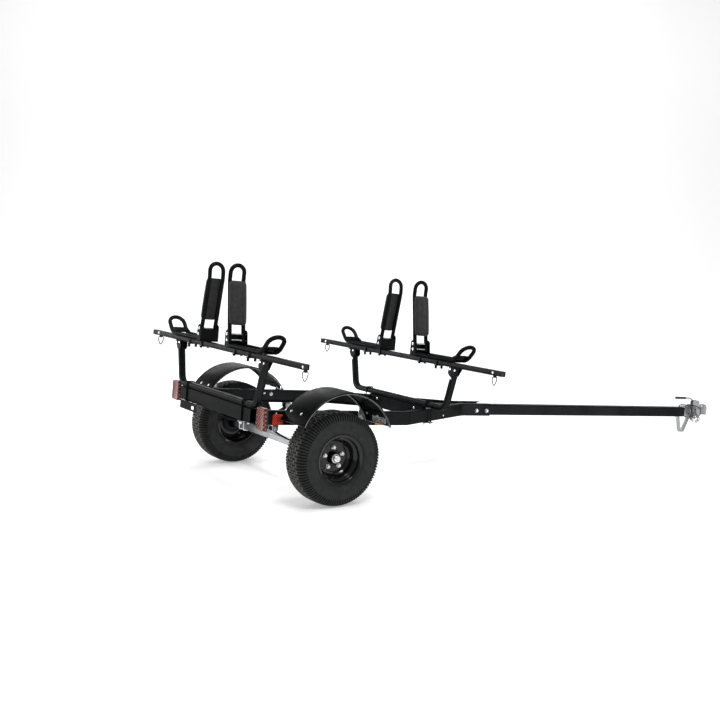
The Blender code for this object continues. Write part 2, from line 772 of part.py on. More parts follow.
def make_hanger(end_name, end, side_name, side, chassis, material):
    """Bracket below the rail, with the bolt that the spring's eye turns on."""
    y = side * SPRING_Y
    x = end * SPRING_EYE_X
    inner = SPRING_WIDTH / 2 + RUNNING_GAP
    outer = inner + HANGER_SHEET
    top = RAIL_BOTTOM - GAP
    bottom = top - HANGER_DROP
    outline = [
        (y - outer, bottom),
        (y - inner, bottom),
        (y - inner, top - HANGER_TOP_SHEET),
        (y + inner, top - HANGER_TOP_SHEET),
        (y + inner, bottom),
        (y + outer, bottom),
        (y + outer, top),
        (y - outer, top),
    ]
    bm = bmesh.new()
    add_prism(bm, outline, "X", x - HANGER_WIDTH / 2, x + HANGER_WIDTH / 2)
    name = "spring_hanger_" + end_name + "_" + side_name
    hanger = finish(name, bm, material, (x, y, SPRING_EYE_Z), chassis)
    bolt = bmesh.new()
    tip = outer + HANGER_NUT_HEIGHT
    profile = [
        (0, -tip),
        (HANGER_NUT_RADIUS, -tip),
        (HANGER_NUT_RADIUS, -outer + WELD),
        (HANGER_BOLT_RADIUS, -outer + WELD),
        (HANGER_BOLT_RADIUS, outer - WELD),
        (HANGER_NUT_RADIUS, outer - WELD),
        (HANGER_NUT_RADIUS, tip - 0.003),
        (HANGER_NUT_RADIUS * 0.6, tip),
        (0, tip),
    ]
    revolve(bolt, profile, (x, y, SPRING_EYE_Z), (0, side, 0), 8)
    join(hanger, bolt)


def make_axle_clamp(side_name, side, chassis, material):
    """Two U-bolts round the axle and a tie plate on top of the leaves."""
    y = side * SPRING_Y
    leaf_top = leaf_height(CLAMP_PLATE_X, MAIN_LEAF_Z) + SPRING_LEAF / 2 + GAP
    plate_top = leaf_top + CLAMP_PLATE_SHEET
    bm = bmesh.new()
    add_box(bm, (-CLAMP_PLATE_X, CLAMP_PLATE_X), (y - CLAMP_PLATE_Y, y + CLAMP_PLATE_Y), (leaf_top, plate_top))
    clamp = finish("axle_clamp_" + side_name, bm, material, (0, y, AXLE_Z), chassis)
    rods = bmesh.new()
    nuts = bmesh.new()
    leg = AXLE_BAR / 2 + RUNNING_GAP + CLAMP_ROD_RADIUS
    floor = AXLE_Z - AXLE_BAR / 2 - GAP - CLAMP_ROD_RADIUS
    top = plate_top + CLAMP_NUT_HEIGHT + CLAMP_TAIL
    spread = SPRING_WIDTH / 2 + CLAMP_ROD_RADIUS + WELD
    for row in (-1, 1):
        row_y = y + row * spread
        corners = [(-leg, row_y, top), (-leg, row_y, floor), (leg, row_y, floor), (leg, row_y, top)]
        round_sweep(rods, CLAMP_ROD_RADIUS, bent_path(corners, CLAMP_BEND_RADIUS, 2), 6)
        for x in (-leg, leg):
            nut = (x, row_y, plate_top - WELD)
            add_cylinder(nuts, CLAMP_NUT_RADIUS, nut, Vector(nut) + Vector((0, 0, CLAMP_NUT_HEIGHT)), 6)
    join(clamp, rods)
    join(clamp, nuts)


def rail_outer_y(x):
    """Distance of a rail's outer face from the middle plane."""
    share = (x - RAIL_BEND_REAR_X) / (RAIL_BEND_FRONT_X - RAIL_BEND_REAR_X)
    share = min(max(share, 0.0), 1.0)
    return RAIL_HALF_WIDTH + (RAIL_FRONT_Y - RAIL_HALF_WIDTH) * share


def rail_slant():
    """Cosine of the angle between the bent stretch of a rail and the X axis."""
    run = RAIL_BEND_FRONT_X - RAIL_BEND_REAR_X
    return run / math.hypot(run, RAIL_HALF_WIDTH - RAIL_FRONT_Y)


def ubolt_legs(x):
    reach = SUPPORT_WIDTH / 2 + RUNNING_GAP + UBOLT_RADIUS
    return (x - reach, x + reach)


def make_side_rail(side_name, side, chassis, material):
    """Channel with its web outside, bent in to the tongue and bolted along it."""
    rear_x = REAR_X + BEAM_WIDTH / 2 + GAP
    centre_z = RAIL_BOTTOM + RAIL_HEIGHT / 2
    corners = [
        (rear_x, side * RAIL_HALF_WIDTH, centre_z),
        (RAIL_BEND_REAR_X, side * RAIL_HALF_WIDTH, centre_z),
        (RAIL_BEND_FRONT_X, side * RAIL_FRONT_Y, centre_z),
        (RAIL_FRONT_X, side * RAIL_FRONT_Y, centre_z),
    ]
    half = RAIL_HEIGHT / 2
    sheet = RAIL_SHEET
    fold = RAIL_SHEET
    shape = [
        (-half, fold),
        (-half + fold, 0),
        (half - fold, 0),
        (half, fold),
        (half, RAIL_DEPTH),
        (half - sheet, RAIL_DEPTH),
        (half - sheet, sheet),
        (-half + sheet, sheet),
        (-half + sheet, RAIL_DEPTH),
        (-half, RAIL_DEPTH),
    ]
    section = [(a, -side * b) for a, b in shape]
    bm = bmesh.new()
    sweep(bm, section, bent_path(corners, RAIL_BEND_RADIUS, 3), (0, 0, 1))
    origin = (rear_x, side * RAIL_HALF_WIDTH, centre_z)
    rail = finish("side_rail_" + side_name, bm, material, origin, chassis)
    holes = bmesh.new()
    for x in TONGUE_BOLT_X:
        start = (x, side * (RAIL_FRONT_Y - 2 * sheet), TONGUE_CENTRE_Z)
        end = (x, side * (RAIL_FRONT_Y + sheet), TONGUE_CENTRE_Z)
        add_cylinder(holes, TONGUE_BOLT_RADIUS + STUD_CLEARANCE, start, end)
    leg_x = ubolt_legs(FRONT_X)[0]
    start = (leg_x, side * UBOLT_FRONT_Y, RAIL_BOTTOM - 2 * sheet)
    end = (leg_x, side * UBOLT_FRONT_Y, RAIL_TOP + 2 * sheet)
    add_cylinder(holes, UBOLT_RADIUS + STUD_CLEARANCE, start, end)
    cut(rail, holes)


def make_cross_beam(end_name, x, end_y, chassis, material):
    """Box beam between the rails. end_y(x) gives where its end lies at each x."""
    z = BEAM_BOTTOM + BEAM_HEIGHT / 2
    outer = round_rectangle(BEAM_WIDTH, BEAM_HEIGHT, BEAM_CORNER)
    inner = round_rectangle(
        BEAM_WIDTH - 2 * BEAM_SHEET, BEAM_HEIGHT - 2 * BEAM_SHEET, BEAM_CORNER - BEAM_SHEET / 2
    )
    bm = bmesh.new()
    rings = [[Vector((x + a, side * end_y(x + a), z + b)) for a, b in outer] for side in (-1, 1)]
    hollow = [[Vector((x + a, side * end_y(x + a), z + b)) for a, b in inner] for side in (-1, 1)]
    loft(bm, rings, hollow=hollow)
    finish("cross_beam_" + end_name, bm, material, (x, 0, z), chassis)


def make_support_tube(end_name, x, chassis, material):
    """Bent tube that lies on the cross beam and carries the load bar on its two uprights."""
    lean = math.tan(math.radians(SUPPORT_LEAN_DEG))
    top_y = SUPPORT_CORNER_Y + lean * (SUPPORT_TOP - SUPPORT_RUN_Z)
    corners = [
        (x, -top_y, SUPPORT_TOP),
        (x, -SUPPORT_CORNER_Y, SUPPORT_RUN_Z),
        (x, SUPPORT_CORNER_Y, SUPPORT_RUN_Z),
        (x, top_y, SUPPORT_TOP),
    ]
    path = bent_path(corners, SUPPORT_BEND_RADIUS, 4)
    outer = round_rectangle(SUPPORT_WIDTH, SUPPORT_THICKNESS, SUPPORT_CORNER)
    inner = round_rectangle(
        SUPPORT_WIDTH - 2 * SUPPORT_SHEET,
        SUPPORT_THICKNESS - 2 * SUPPORT_SHEET,
        SUPPORT_CORNER - SUPPORT_SHEET,
    )
    rings = section_rings(outer, path, (1, 0, 0))
    bore = section_rings(inner, path, (1, 0, 0))
    for side, end in ((-1, 0), (1, -1)):
        upright = Vector((0, side * lean, 1))
        for ring in (rings[end], bore[end]):
            ring[:] = [p + upright * (SUPPORT_TOP - p.z) for p in ring]
    bm = bmesh.new()
    loft(bm, rings, hollow=bore)
    tube = finish("support_tube_" + end_name, bm, material, (x, 0, SUPPORT_RUN_Z), chassis)
    seats = bmesh.new()
    gussets = bmesh.new()
    vents = bmesh.new()
    for _, side in SIDES:
        low, high = top_y - SEAT_LENGTH / 2, top_y + SEAT_LENGTH / 2
        vent = Vector((x, side * top_y, SEAT_TOP - 2 * SEAT_SHEET))
        add_cylinder(vents, VENT_RADIUS, vent, vent + Vector((0, 0, 3 * SEAT_SHEET)), 8)
        add_box(
            seats,
            (x - SUPPORT_WIDTH / 2 - GUSSET_SHEET, x + SUPPORT_WIDTH / 2 + GUSSET_SHEET),
            (side * low, side * high),
            (SEAT_TOP - SEAT_SHEET, SEAT_TOP),
        )
        foot_z = SEAT_TOP - GUSSET_HEIGHT
        foot_y = top_y - lean * GUSSET_HEIGHT
        outline = [
            (side * (low + 0.004), SEAT_TOP - WELD),
            (side * (high - 0.004), SEAT_TOP - WELD),
            (side * (foot_y + 0.015), foot_z),
            (side * (foot_y - 0.015), foot_z),
            (side * (foot_y - GUSSET_REACH), foot_z + GUSSET_HEIGHT * 0.35),
        ]
        for face in (-1, 1):
            start = x + face * (SUPPORT_WIDTH / 2 - WELD)
            add_prism(gussets, outline, "X", start, start + face * GUSSET_SHEET)
    join(tube, seats)
    join(tube, gussets)
    cut(tube, vents)


def make_support_ubolt(name, x, y, plate_top, chassis, material):
    """U-bolt over the support tube, with the plate and nuts that pull it down."""
    tube_top = SUPPORT_RUN_Z + SUPPORT_THICKNESS / 2
    crown = tube_top + GAP + UBOLT_RADIUS
    plate_bottom = plate_top - UBOLT_PLATE_SHEET
    tail = plate_bottom - UBOLT_TAIL
    low_x, high_x = ubolt_legs(x)
    bm = bmesh.new()
    corners = [(low_x, y, tail), (low_x, y, crown), (high_x, y, crown), (high_x, y, tail)]
    round_sweep(bm, UBOLT_RADIUS, bent_path(corners, UBOLT_BEND_RADIUS, 2), 6)
    ubolt = finish(name, bm, material, (x, y, crown), chassis)
    plate = bmesh.new()
    half_x = UBOLT_PLATE_LENGTH / 2
    half_y = UBOLT_PLATE_WIDTH / 2
    add_box(plate, (x - half_x, x + half_x), (y - half_y, y + half_y), (plate_bottom, plate_top))
    join(ubolt, plate)
    nuts = bmesh.new()
    for leg in (low_x, high_x):
        top = Vector((leg, y, plate_bottom + WELD))
        add_cylinder(nuts, UBOLT_NUT_RADIUS, top - Vector((0, 0, UBOLT_NUT_HEIGHT)), top, 6)
    join(ubolt, nuts)


def make_tongue(chassis, material):
    """Square tube from the front cross beam to the coupler, with its two cross bolts."""
    outer = round_rectangle(TONGUE_SIZE, TONGUE_SIZE, TONGUE_CORNER)
    inner_size = TONGUE_SIZE - 2 * TONGUE_SHEET
    inner = round_rectangle(inner_size, inner_size, TONGUE_CORNER - TONGUE_SHEET)
    bm = bmesh.new()
    path = [(TONGUE_REAR_X, 0, TONGUE_CENTRE_Z), (TONGUE_FRONT_X, 0, TONGUE_CENTRE_Z)]
    sweep(bm, outer, path, (0, 1, 0), hollow=inner)
    tongue = finish("tongue_tube", bm, material, (TONGUE_REAR_X, 0, TONGUE_CENTRE_Z), chassis)
    bolts = bmesh.new()
    face = RAIL_FRONT_Y + GAP
    tip = face + TONGUE_BOLT_HEAD_HEIGHT
    profile = [
        (0, -tip),
        (TONGUE_BOLT_HEAD_RADIUS, -tip),
        (TONGUE_BOLT_HEAD_RADIUS, -face),
        (TONGUE_BOLT_RADIUS, -face),
        (TONGUE_BOLT_RADIUS, face),
        (TONGUE_BOLT_HEAD_RADIUS, face),
        (TONGUE_BOLT_HEAD_RADIUS, tip),
        (0, tip),
    ]
    for x in TONGUE_BOLT_X:
        revolve(bolts, profile, (x, 0, TONGUE_CENTRE_Z), (0, 1, 0), 8)
    join(tongue, bolts)


def make_coupler(chassis, material):
    """Hitch coupler: a square neck inside the tongue, a domed ball socket and the latch lugs."""
    outer = round_rectangle(COUPLER_SIZE, COUPLER_SIZE, TONGUE_CORNER - TONGUE_SHEET)
    inner_size = COUPLER_SIZE - 2 * COUPLER_SHEET
    inner = round_rectangle(inner_size, inner_size, 0.001)
    bm = bmesh.new()
    path = [
        (TONGUE_FRONT_X - COUPLER_INSERT, 0, TONGUE_CENTRE_Z),
        (COUPLER_NECK_FRONT_X, 0, TONGUE_CENTRE_Z),
    ]
    sweep(bm, outer, path, (0, 1, 0), hollow=inner)
    coupler = finish("coupler_body", bm, material, (BALL_X, 0, COUPLER_DOME_BOTTOM), chassis)
    dome = bmesh.new()
    height = COUPLER_DOME_TOP - COUPLER_DOME_BOTTOM
    profile = [(0, height)]
    profile += [
        (COUPLER_DOME_RADIUS * a, height - COUPLER_DOME_RADIUS * 0.8 * (1 - b))
        for a, b in arc_points((0, 0), 1.0, 60, 0, 3)
    ]
    profile += [(COUPLER_DOME_RADIUS, 0.005), (COUPLER_DOME_RADIUS + 0.001, 0), (0, 0)]
    revolve(dome, profile, (BALL_X, 0, COUPLER_DOME_BOTTOM), (0, 0, 1), 14)
    join(coupler, dome)
    lugs = bmesh.new()
    for _, side in SIDES:
        inner_y = side * LATCH_LUG_SPACING / 2
        outer_y = side * (LATCH_LUG_SPACING / 2 + LATCH_LUG_SHEET)
        outline = [
            (LATCH_LUG_REAR_X, COUPLER_TOP - COUPLER_SHEET / 2),
            (LATCH_LUG_FRONT_X + 0.012, COUPLER_TOP - COUPLER_SHEET / 2),
            (LATCH_LUG_FRONT_X, LATCH_LUG_TOP - 0.010),
            (LATCH_LUG_FRONT_X - 0.012, LATCH_LUG_TOP),
            (LATCH_LUG_REAR_X + 0.012, LATCH_LUG_TOP),
            (LATCH_LUG_REAR_X, LATCH_LUG_TOP - 0.012),
        ]
        add_prism(lugs, outline, "Y", inner_y, outer_y)
    join(coupler, lugs)
    socket = bmesh.new()
    ball = BALL_RADIUS + SOCKET_CLEARANCE
    cavity = [(0, ball * 1.9)]
    cavity += [(ball * a, ball * (0.9 + b)) for a, b in arc_points((0, 0), 1.0, 65, 0, 3)]
    cavity += [(ball, -WELD), (0, -WELD)]
    revolve(socket, cavity, (BALL_X, 0, COUPLER_DOME_BOTTOM), (0, 0, 1), 14)
    pin = LATCH_LUG_SPACING
    start = (LEVER_PIVOT_X, -pin, LEVER_PIVOT_Z)
    end = (LEVER_PIVOT_X, pin, LEVER_PIVOT_Z)
    add_cylinder(socket, LEVER_PIN_RADIUS + RUNNING_GAP * 1.5, start, end)
    cut(coupler, socket)


def make_latch_lever(chassis, material):
    """Bent rod with a rubber grip, turning on a pin between the coupler's lugs."""
    corners = [
        (LEVER_PIVOT_X, 0, LEVER_PIVOT_Z),
        (LEVER_PIVOT_X - 0.062, 0, LEVER_TOP_Z),
        (GRIP_FRONT_X - 0.010, 0, LEVER_TOP_Z),
    ]
    bm = bmesh.new()
    round_sweep(bm, LEVER_ROD_RADIUS, bent_path(corners, LEVER_BEND_RADIUS, 3), 8)
    pivot = (LEVER_PIVOT_X, 0, LEVER_PIVOT_Z)
    lever = finish("coupler_latch_lever", bm, material, pivot, chassis)
    extra = bmesh.new()
    reach = LATCH_LUG_SPACING / 2 + LATCH_LUG_SHEET + 0.003
    start = (LEVER_PIVOT_X, -reach, LEVER_PIVOT_Z)
    add_cylinder(extra, LEVER_PIN_RADIUS, start, (LEVER_PIVOT_X, reach, LEVER_PIVOT_Z), 10)
    length = GRIP_FRONT_X - GRIP_REAR_X
    profile = [
        (0, 0),
        (GRIP_RADIUS * 0.75, 0),
        (GRIP_RADIUS, 0.003),
        (GRIP_RADIUS * 0.86, length * 0.5),
        (GRIP_RADIUS, length - 0.006),
        (GRIP_RADIUS * 0.7, length),
        (0, length),
    ]
    revolve(extra, profile, (GRIP_REAR_X, 0, LEVER_TOP_Z), (1, 0, 0), 10)
    join(lever, extra)
    boss = bmesh.new()
    half = LATCH_LUG_SPACING / 2 - RUNNING_GAP
    start = (LEVER_PIVOT_X, -half, LEVER_PIVOT_Z)
    add_cylinder(boss, LEVER_BOSS_RADIUS, start, (LEVER_PIVOT_X, half, LEVER_PIVOT_Z), 10)
    join(lever, boss)


def make_stand(chassis, material):
    """V-shaped strap below the tongue's end, which the parked trailer leans on."""
    top_rear = TONGUE_BOTTOM - GAP - STAND_STRAP / 2
    top_front = COUPLER_BOTTOM - GAP - STAND_STRAP / 2
    radius = STAND_BEND_RADIUS
    centre = (STAND_FOOT_X, STAND_CENTRE_Z)
    rear_side = math.hypot(centre[0] - STAND_REAR_LEG_X, top_rear - centre[1])
    front_side = math.hypot(STAND_FRONT_LEG_X - centre[0], top_front - centre[1])
    rear_deg = 180 + math.degrees(
        math.atan2(centre[0] - STAND_REAR_LEG_X, top_rear - centre[1]) - math.asin(radius / rear_side)
    )
    front_deg = 360 - math.degrees(
        math.atan2(STAND_FRONT_LEG_X - centre[0], top_front - centre[1]) - math.asin(radius / front_side)
    )
    foot = arc_points(centre, radius, rear_deg, front_deg, 6)
    path = [(STAND_REAR_LEG_X - STAND_FLANGE, 0, top_rear), (STAND_REAR_LEG_X, 0, top_rear)]
    path += [(x, 0, z) for x, z in foot]
    path += [(STAND_FRONT_LEG_X, 0, top_front), (STAND_FRONT_LEG_X + STAND_FLANGE, 0, top_front)]
    bm = bmesh.new()
    sweep(bm, round_rectangle(STAND_WIDTH, STAND_STRAP, STAND_STRAP / 4), path, (0, 1, 0))
    finish("tongue_stand", bm, material, (STAND_FOOT_X, 0, STAND_BOTTOM), chassis)


def make_load_bar(end_name, x, chassis, material):
    """Square bar across the trailer, with a small tab near each end for a tie ring."""
    end = BAR_LENGTH / 2
    outer = round_rectangle(BAR_WIDTH, BAR_HEIGHT, BAR_CORNER)
    inner = round_rectangle(BAR_WIDTH - 2 * BAR_SHEET, BAR_HEIGHT - 2 * BAR_SHEET, BAR_CORNER - BAR_SHEET)
    bm = bmesh.new()
    sweep(bm, outer, [(x, -end, BAR_CENTRE_Z), (x, end, BAR_CENTRE_Z)], (1, 0, 0), hollow=inner)
    bar = finish("load_bar_" + end_name, bm, material, (x, 0, BAR_CENTRE_Z), chassis)
    tabs = bmesh.new()
    bores = bmesh.new()
    for side_name, side in SIDES:
        y, z = ring_place(end_name, side_name, side)
        half_x = RING_TAB_WIDTH / 2
        half_y = RING_TAB_THICKNESS / 2
        top = BAR_BOTTOM + BAR_SHEET / 2
        add_box(tabs, (x - half_x, x + half_x), (y - half_y, y + half_y), (BAR_BOTTOM - RING_TAB_HEIGHT, top))
        bore = RING_WIRE_RADIUS + RUNNING_GAP * 1.5
        add_cylinder(bores, bore, (x - half_x - WELD, y, z), (x + half_x + WELD, y, z), 8)
    join(bar, tabs)
    cut(bar, bores)


def ring_place(end_name, side_name, side):
    """Where the axis of a tie ring lies: y and z."""
    inset = RING_INSET[end_name + "_" + side_name]
    return side * (BAR_LENGTH / 2 - inset), BAR_BOTTOM - RING_DROP


def make_tie_ring(end_name, x, side_name, side, chassis, material):
    """Wire loop that hangs in its tab: a straight top, then a narrowing pear shape."""
    y, z = ring_place(end_name, side_name, side)
    half_top = RING_TOP_WIDTH / 2
    half = RING_WIDTH / 2 - RING_WIRE_RADIUS
    corners = [
        (half_top, 0.0),
        (half, -0.010),
        (half * 0.96, -0.020),
        (half * 0.62, -0.036),
        (half * 0.25, -RING_HEIGHT + 0.0030),
    ]
    shape = corners + [(-a, b) for a, b in reversed(corners)]
    path = [(x + a, y, z + b) for a, b in shape]
    bm = bmesh.new()
    sweep(bm, circle_section(RING_WIRE_RADIUS, 5), path, (0, 1, 0), closed=True)
    name = "tie_ring_" + end_name + "_" + side_name
    finish(name, bm, material, (x, y, z), chassis, 70.0)


def cradle_loop(points, spacing, steps):
    """A planar centre line (y, z), run up one tube, round an end bend and back down the other."""
    half = spacing / 2
    (last_y, last_z), (prior_y, prior_z) = points[-1], points[-2]
    along = Vector((0, last_y - prior_y, last_z - prior_z)).normalized()
    path = [Vector((-half, y, z)) for y, z in points]
    for step in range(1, steps):
        angle = math.pi * step / steps
        end = Vector((0, last_y, last_z)) + along * half * math.sin(angle)
        path.append(end + Vector((-half * math.cos(angle), 0, 0)))
    path += [Vector((half, y, z)) for y, z in reversed(points)]
    return path


def hook_line():
    """Centre line (y, z) of a cradle's base tubes: along the bar, then up into the hook."""
    angle = math.radians(CRADLE_HOOK_ANGLE_DEG)
    radius = CRADLE_HOOK_RADIUS
    centre = (CRADLE_HOOK_Y, CRADLE_RUN_Z + radius)
    line = [(CRADLE_RUN_Y, CRADLE_RUN_Z)]
    line += arc_points(centre, radius, -90, -90 + CRADLE_HOOK_ANGLE_DEG, 3)
    y, z = line[-1]
    line.append((y + CRADLE_HOOK_LENGTH * math.cos(angle), z + CRADLE_HOOK_LENGTH * math.sin(angle)))
    return line


def saddle_rings(x, side):
    """Sections of the rubber saddle between the hook's tubes, round most of their bend."""
    half = CRADLE_HOOK_SPACING / 2 + CRADLE_TUBE_RADIUS - CRADLE_SADDLE_EDGE
    low = CRADLE_TUBE_RADIUS - CRADLE_SADDLE_SINK
    high = CRADLE_TUBE_RADIUS + CRADLE_SADDLE_RISE
    top = high + CRADLE_SADDLE_CROWN
    section = [(-half, low), (half, low), (half, high), (half * 0.6, top), (-half * 0.6, top), (-half, high)]
    centre_z = CRADLE_RUN_Z + CRADLE_HOOK_RADIUS
    rings = []
    for step in range(4):
        share = step / 3
        degrees = CRADLE_SADDLE_START_DEG * (1 - share) + CRADLE_SADDLE_END_DEG * share
        turn = math.radians(degrees)
        ring = []
        for across, depth in section:
            radius = CRADLE_HOOK_RADIUS - depth
            y = CRADLE_HOOK_Y + radius * math.sin(turn)
            ring.append(Vector((x + across, side * y, centre_z - radius * math.cos(turn))))
        rings.append(ring)
    return rings


def make_cradle_base(end_name, x, side_name, side, chassis, material):
    """Hook loop on a plate that two clamps hold to the load bar, with the bracket of the fold hinge."""
    line = hook_line()
    bm = bmesh.new()
    path = [Vector((x + p.x, side * p.y, p.z)) for p in cradle_loop(line, CRADLE_HOOK_SPACING, 4)]
    round_sweep(bm, CRADLE_TUBE_RADIUS, path, 6)
    name = "cradle_base_" + end_name + "_" + side_name
    origin = (x, side * CRADLE_CLAMP_Y[1], CRADLE_PLATE_BOTTOM)
    base = finish(name, bm, material, origin, chassis, 50.0)
    half = CRADLE_HOOK_SPACING / 2 + CRADLE_TUBE_RADIUS
    plate = bmesh.new()
    inner_y, outer_y = side * CRADLE_PLATE_INNER_Y, side * CRADLE_PLATE_OUTER_Y
    add_box(plate, (x - half, x + half), (inner_y, outer_y), (CRADLE_PLATE_BOTTOM, CRADLE_PLATE_TOP))
    join(base, plate)
    saddle = bmesh.new()
    loft(saddle, saddle_rings(x, side))
    join(base, saddle)
    cheeks = bmesh.new()
    bracket_top = CRADLE_PIVOT_Z + CRADLE_LOCK_BOLT_RISE
    back_y = CRADLE_PIVOT_Y - CRADLE_CHEEK_BACK
    outline = arc_points((back_y + CRADLE_CHEEK_RADIUS, bracket_top), CRADLE_CHEEK_RADIUS, 0, 180, 4)
    outline.append((back_y, CRADLE_PLATE_TOP - WELD))
    outline.append((CRADLE_PIVOT_Y + CRADLE_CHEEK_FOOT, CRADLE_PLATE_TOP - WELD))
    outline = [(side * y, z) for y, z in outline]
    for face in (-1, 1):
        start = x + face * CRADLE_CHEEK_X
        add_prism(cheeks, outline, "X", start, start + face * CRADLE_CHEEK_SHEET)
    join(base, cheeks)
    web = bmesh.new()
    reach = CRADLE_CHEEK_X + CRADLE_CHEEK_SHEET / 2
    web_y = (side * back_y, side * (back_y + CRADLE_CHEEK_SHEET))
    add_box(web, (x - reach, x + reach), web_y, (CRADLE_PLATE_TOP - WELD, bracket_top))
    join(base, web)
    clamps = bmesh.new()
    bolts = bmesh.new()
    clamp_top = BAR_BOTTOM - GAP
    clamp_bottom = clamp_top - CRADLE_CLAMP_SHEET
    bolt_x = BAR_WIDTH / 2 + CRADLE_BOLT_RADIUS + WELD
    half_x = bolt_x + 2 * CRADLE_BOLT_RADIUS
    for clamp_y in CRADLE_CLAMP_Y:
        low, high = clamp_y - CRADLE_CLAMP_LENGTH / 2, clamp_y + CRADLE_CLAMP_LENGTH / 2
        add_box(clamps, (x - half_x, x + half_x), (side * low, side * high), (clamp_bottom, clamp_top))
        for face in (-1, 1):
            foot = (x + face * bolt_x, side * clamp_y, clamp_bottom - CRADLE_BOLT_TAIL)
            head = (x + face * bolt_x, side * clamp_y, CRADLE_PLATE_TOP + 0.003)
            add_cylinder(bolts, CRADLE_BOLT_RADIUS, foot, head, 6)
    join(base, bolts)
    join(base, clamps)
    bore = bmesh.new()
    reach = CRADLE_CHEEK_X + CRADLE_CHEEK_SHEET + WELD
    start = (x - reach, side * CRADLE_PIVOT_Y, CRADLE_PIVOT_Z)
    end = (x + reach, side * CRADLE_PIVOT_Y, CRADLE_PIVOT_Z)
    add_cylinder(bore, CRADLE_PIVOT_RADIUS + RUNNING_GAP * 1.5, start, end, 10)
    cut(base, bore)


def arm_point(side, along, across=0.0):
    """A point (y, z) on a cradle's arm: along it from the pivot, and out to its padded side."""
    lean = math.radians(CRADLE_ARM_LEAN_DEG)
    y = CRADLE_PIVOT_Y - along * math.sin(lean) + across * math.cos(lean)
    z = CRADLE_PIVOT_Z + along * math.cos(lean) + across * math.sin(lean)
    return side * y, z


def make_cradle_arm(end_name, x, side_name, side, chassis, material):
    """Tall loop of the J, with its pivot bolt and the lock bolt above it."""
    line = [
        arm_point(side, -CRADLE_ARM_HEEL),
        arm_point(side, CRADLE_ARM_LENGTH * 0.78),
        arm_point(side, CRADLE_ARM_LENGTH * 0.88, CRADLE_ARM_CURL),
    ]
    bm = bmesh.new()
    path = [Vector((x + p.x, p.y, p.z)) for p in cradle_loop(line, CRADLE_ARM_SPACING, 4)]
    round_sweep(bm, CRADLE_TUBE_RADIUS, path, 6)
    name = "cradle_arm_" + end_name + "_" + side_name
    pivot = (x, side * CRADLE_PIVOT_Y, CRADLE_PIVOT_Z)
    arm = finish(name, bm, material, pivot, chassis, 50.0)
    bolts = bmesh.new()
    pivot_reach = CRADLE_CHEEK_X + CRADLE_CHEEK_SHEET + CRADLE_BOLT_END
    lock_reach = CRADLE_CHEEK_X - RUNNING_GAP
    for along, reach in ((0.0, pivot_reach), (CRADLE_LOCK_BOLT_RISE, lock_reach)):
        y, z = arm_point(side, along)
        add_cylinder(bolts, CRADLE_PIVOT_RADIUS, (x - reach, y, z), (x + reach, y, z), 8)
    join(arm, bolts)


def make_arm_pad(end_name, x, side_name, side, chassis, material):
    """Crowned foam pad on the side of the arm that the hull leans on."""
    rows = 5
    rings = []
    back = CRADLE_TUBE_RADIUS + GAP
    for row in range(rows + 1):
        share = row / rows
        along = PAD_START + PAD_LENGTH * share
        swell = math.sin(math.pi * (0.12 + 0.76 * share)) ** 0.5
        half = PAD_WIDTH / 2 * (0.93 + 0.07 * swell)
        crown = PAD_THICKNESS * (0.62 + 0.38 * swell)
        section = [(-half, 0.3), (-half * 0.9, 0.72), (-half * 0.5, 0.97), (half * 0.5, 0.97)]
        section += [(half * 0.9, 0.72), (half, 0.3), (half * 0.94, 0.0), (-half * 0.94, 0.0)]
        ring = []
        for across_x, share_up in section:
            y, z = arm_point(side, along, back + crown * share_up)
            ring.append(Vector((x + across_x, y, z)))
        rings.append(ring)
    bm = bmesh.new()
    loft(bm, rings)
    y, z = arm_point(side, PAD_START, back)
    finish("cradle_arm_pad_" + end_name + "_" + side_name, bm, material, (x, y, z), chassis, 60.0)


def fender_point(angle_deg, depth=0.0):
    """A point (x, z) on the fender's arc, the angle measured forward from its top."""
    angle = math.radians(angle_deg)
    radius = FENDER_RADIUS - depth
    return FENDER_CENTRE_X + radius * math.sin(angle), FENDER_CENTRE_Z + radius * math.cos(angle)


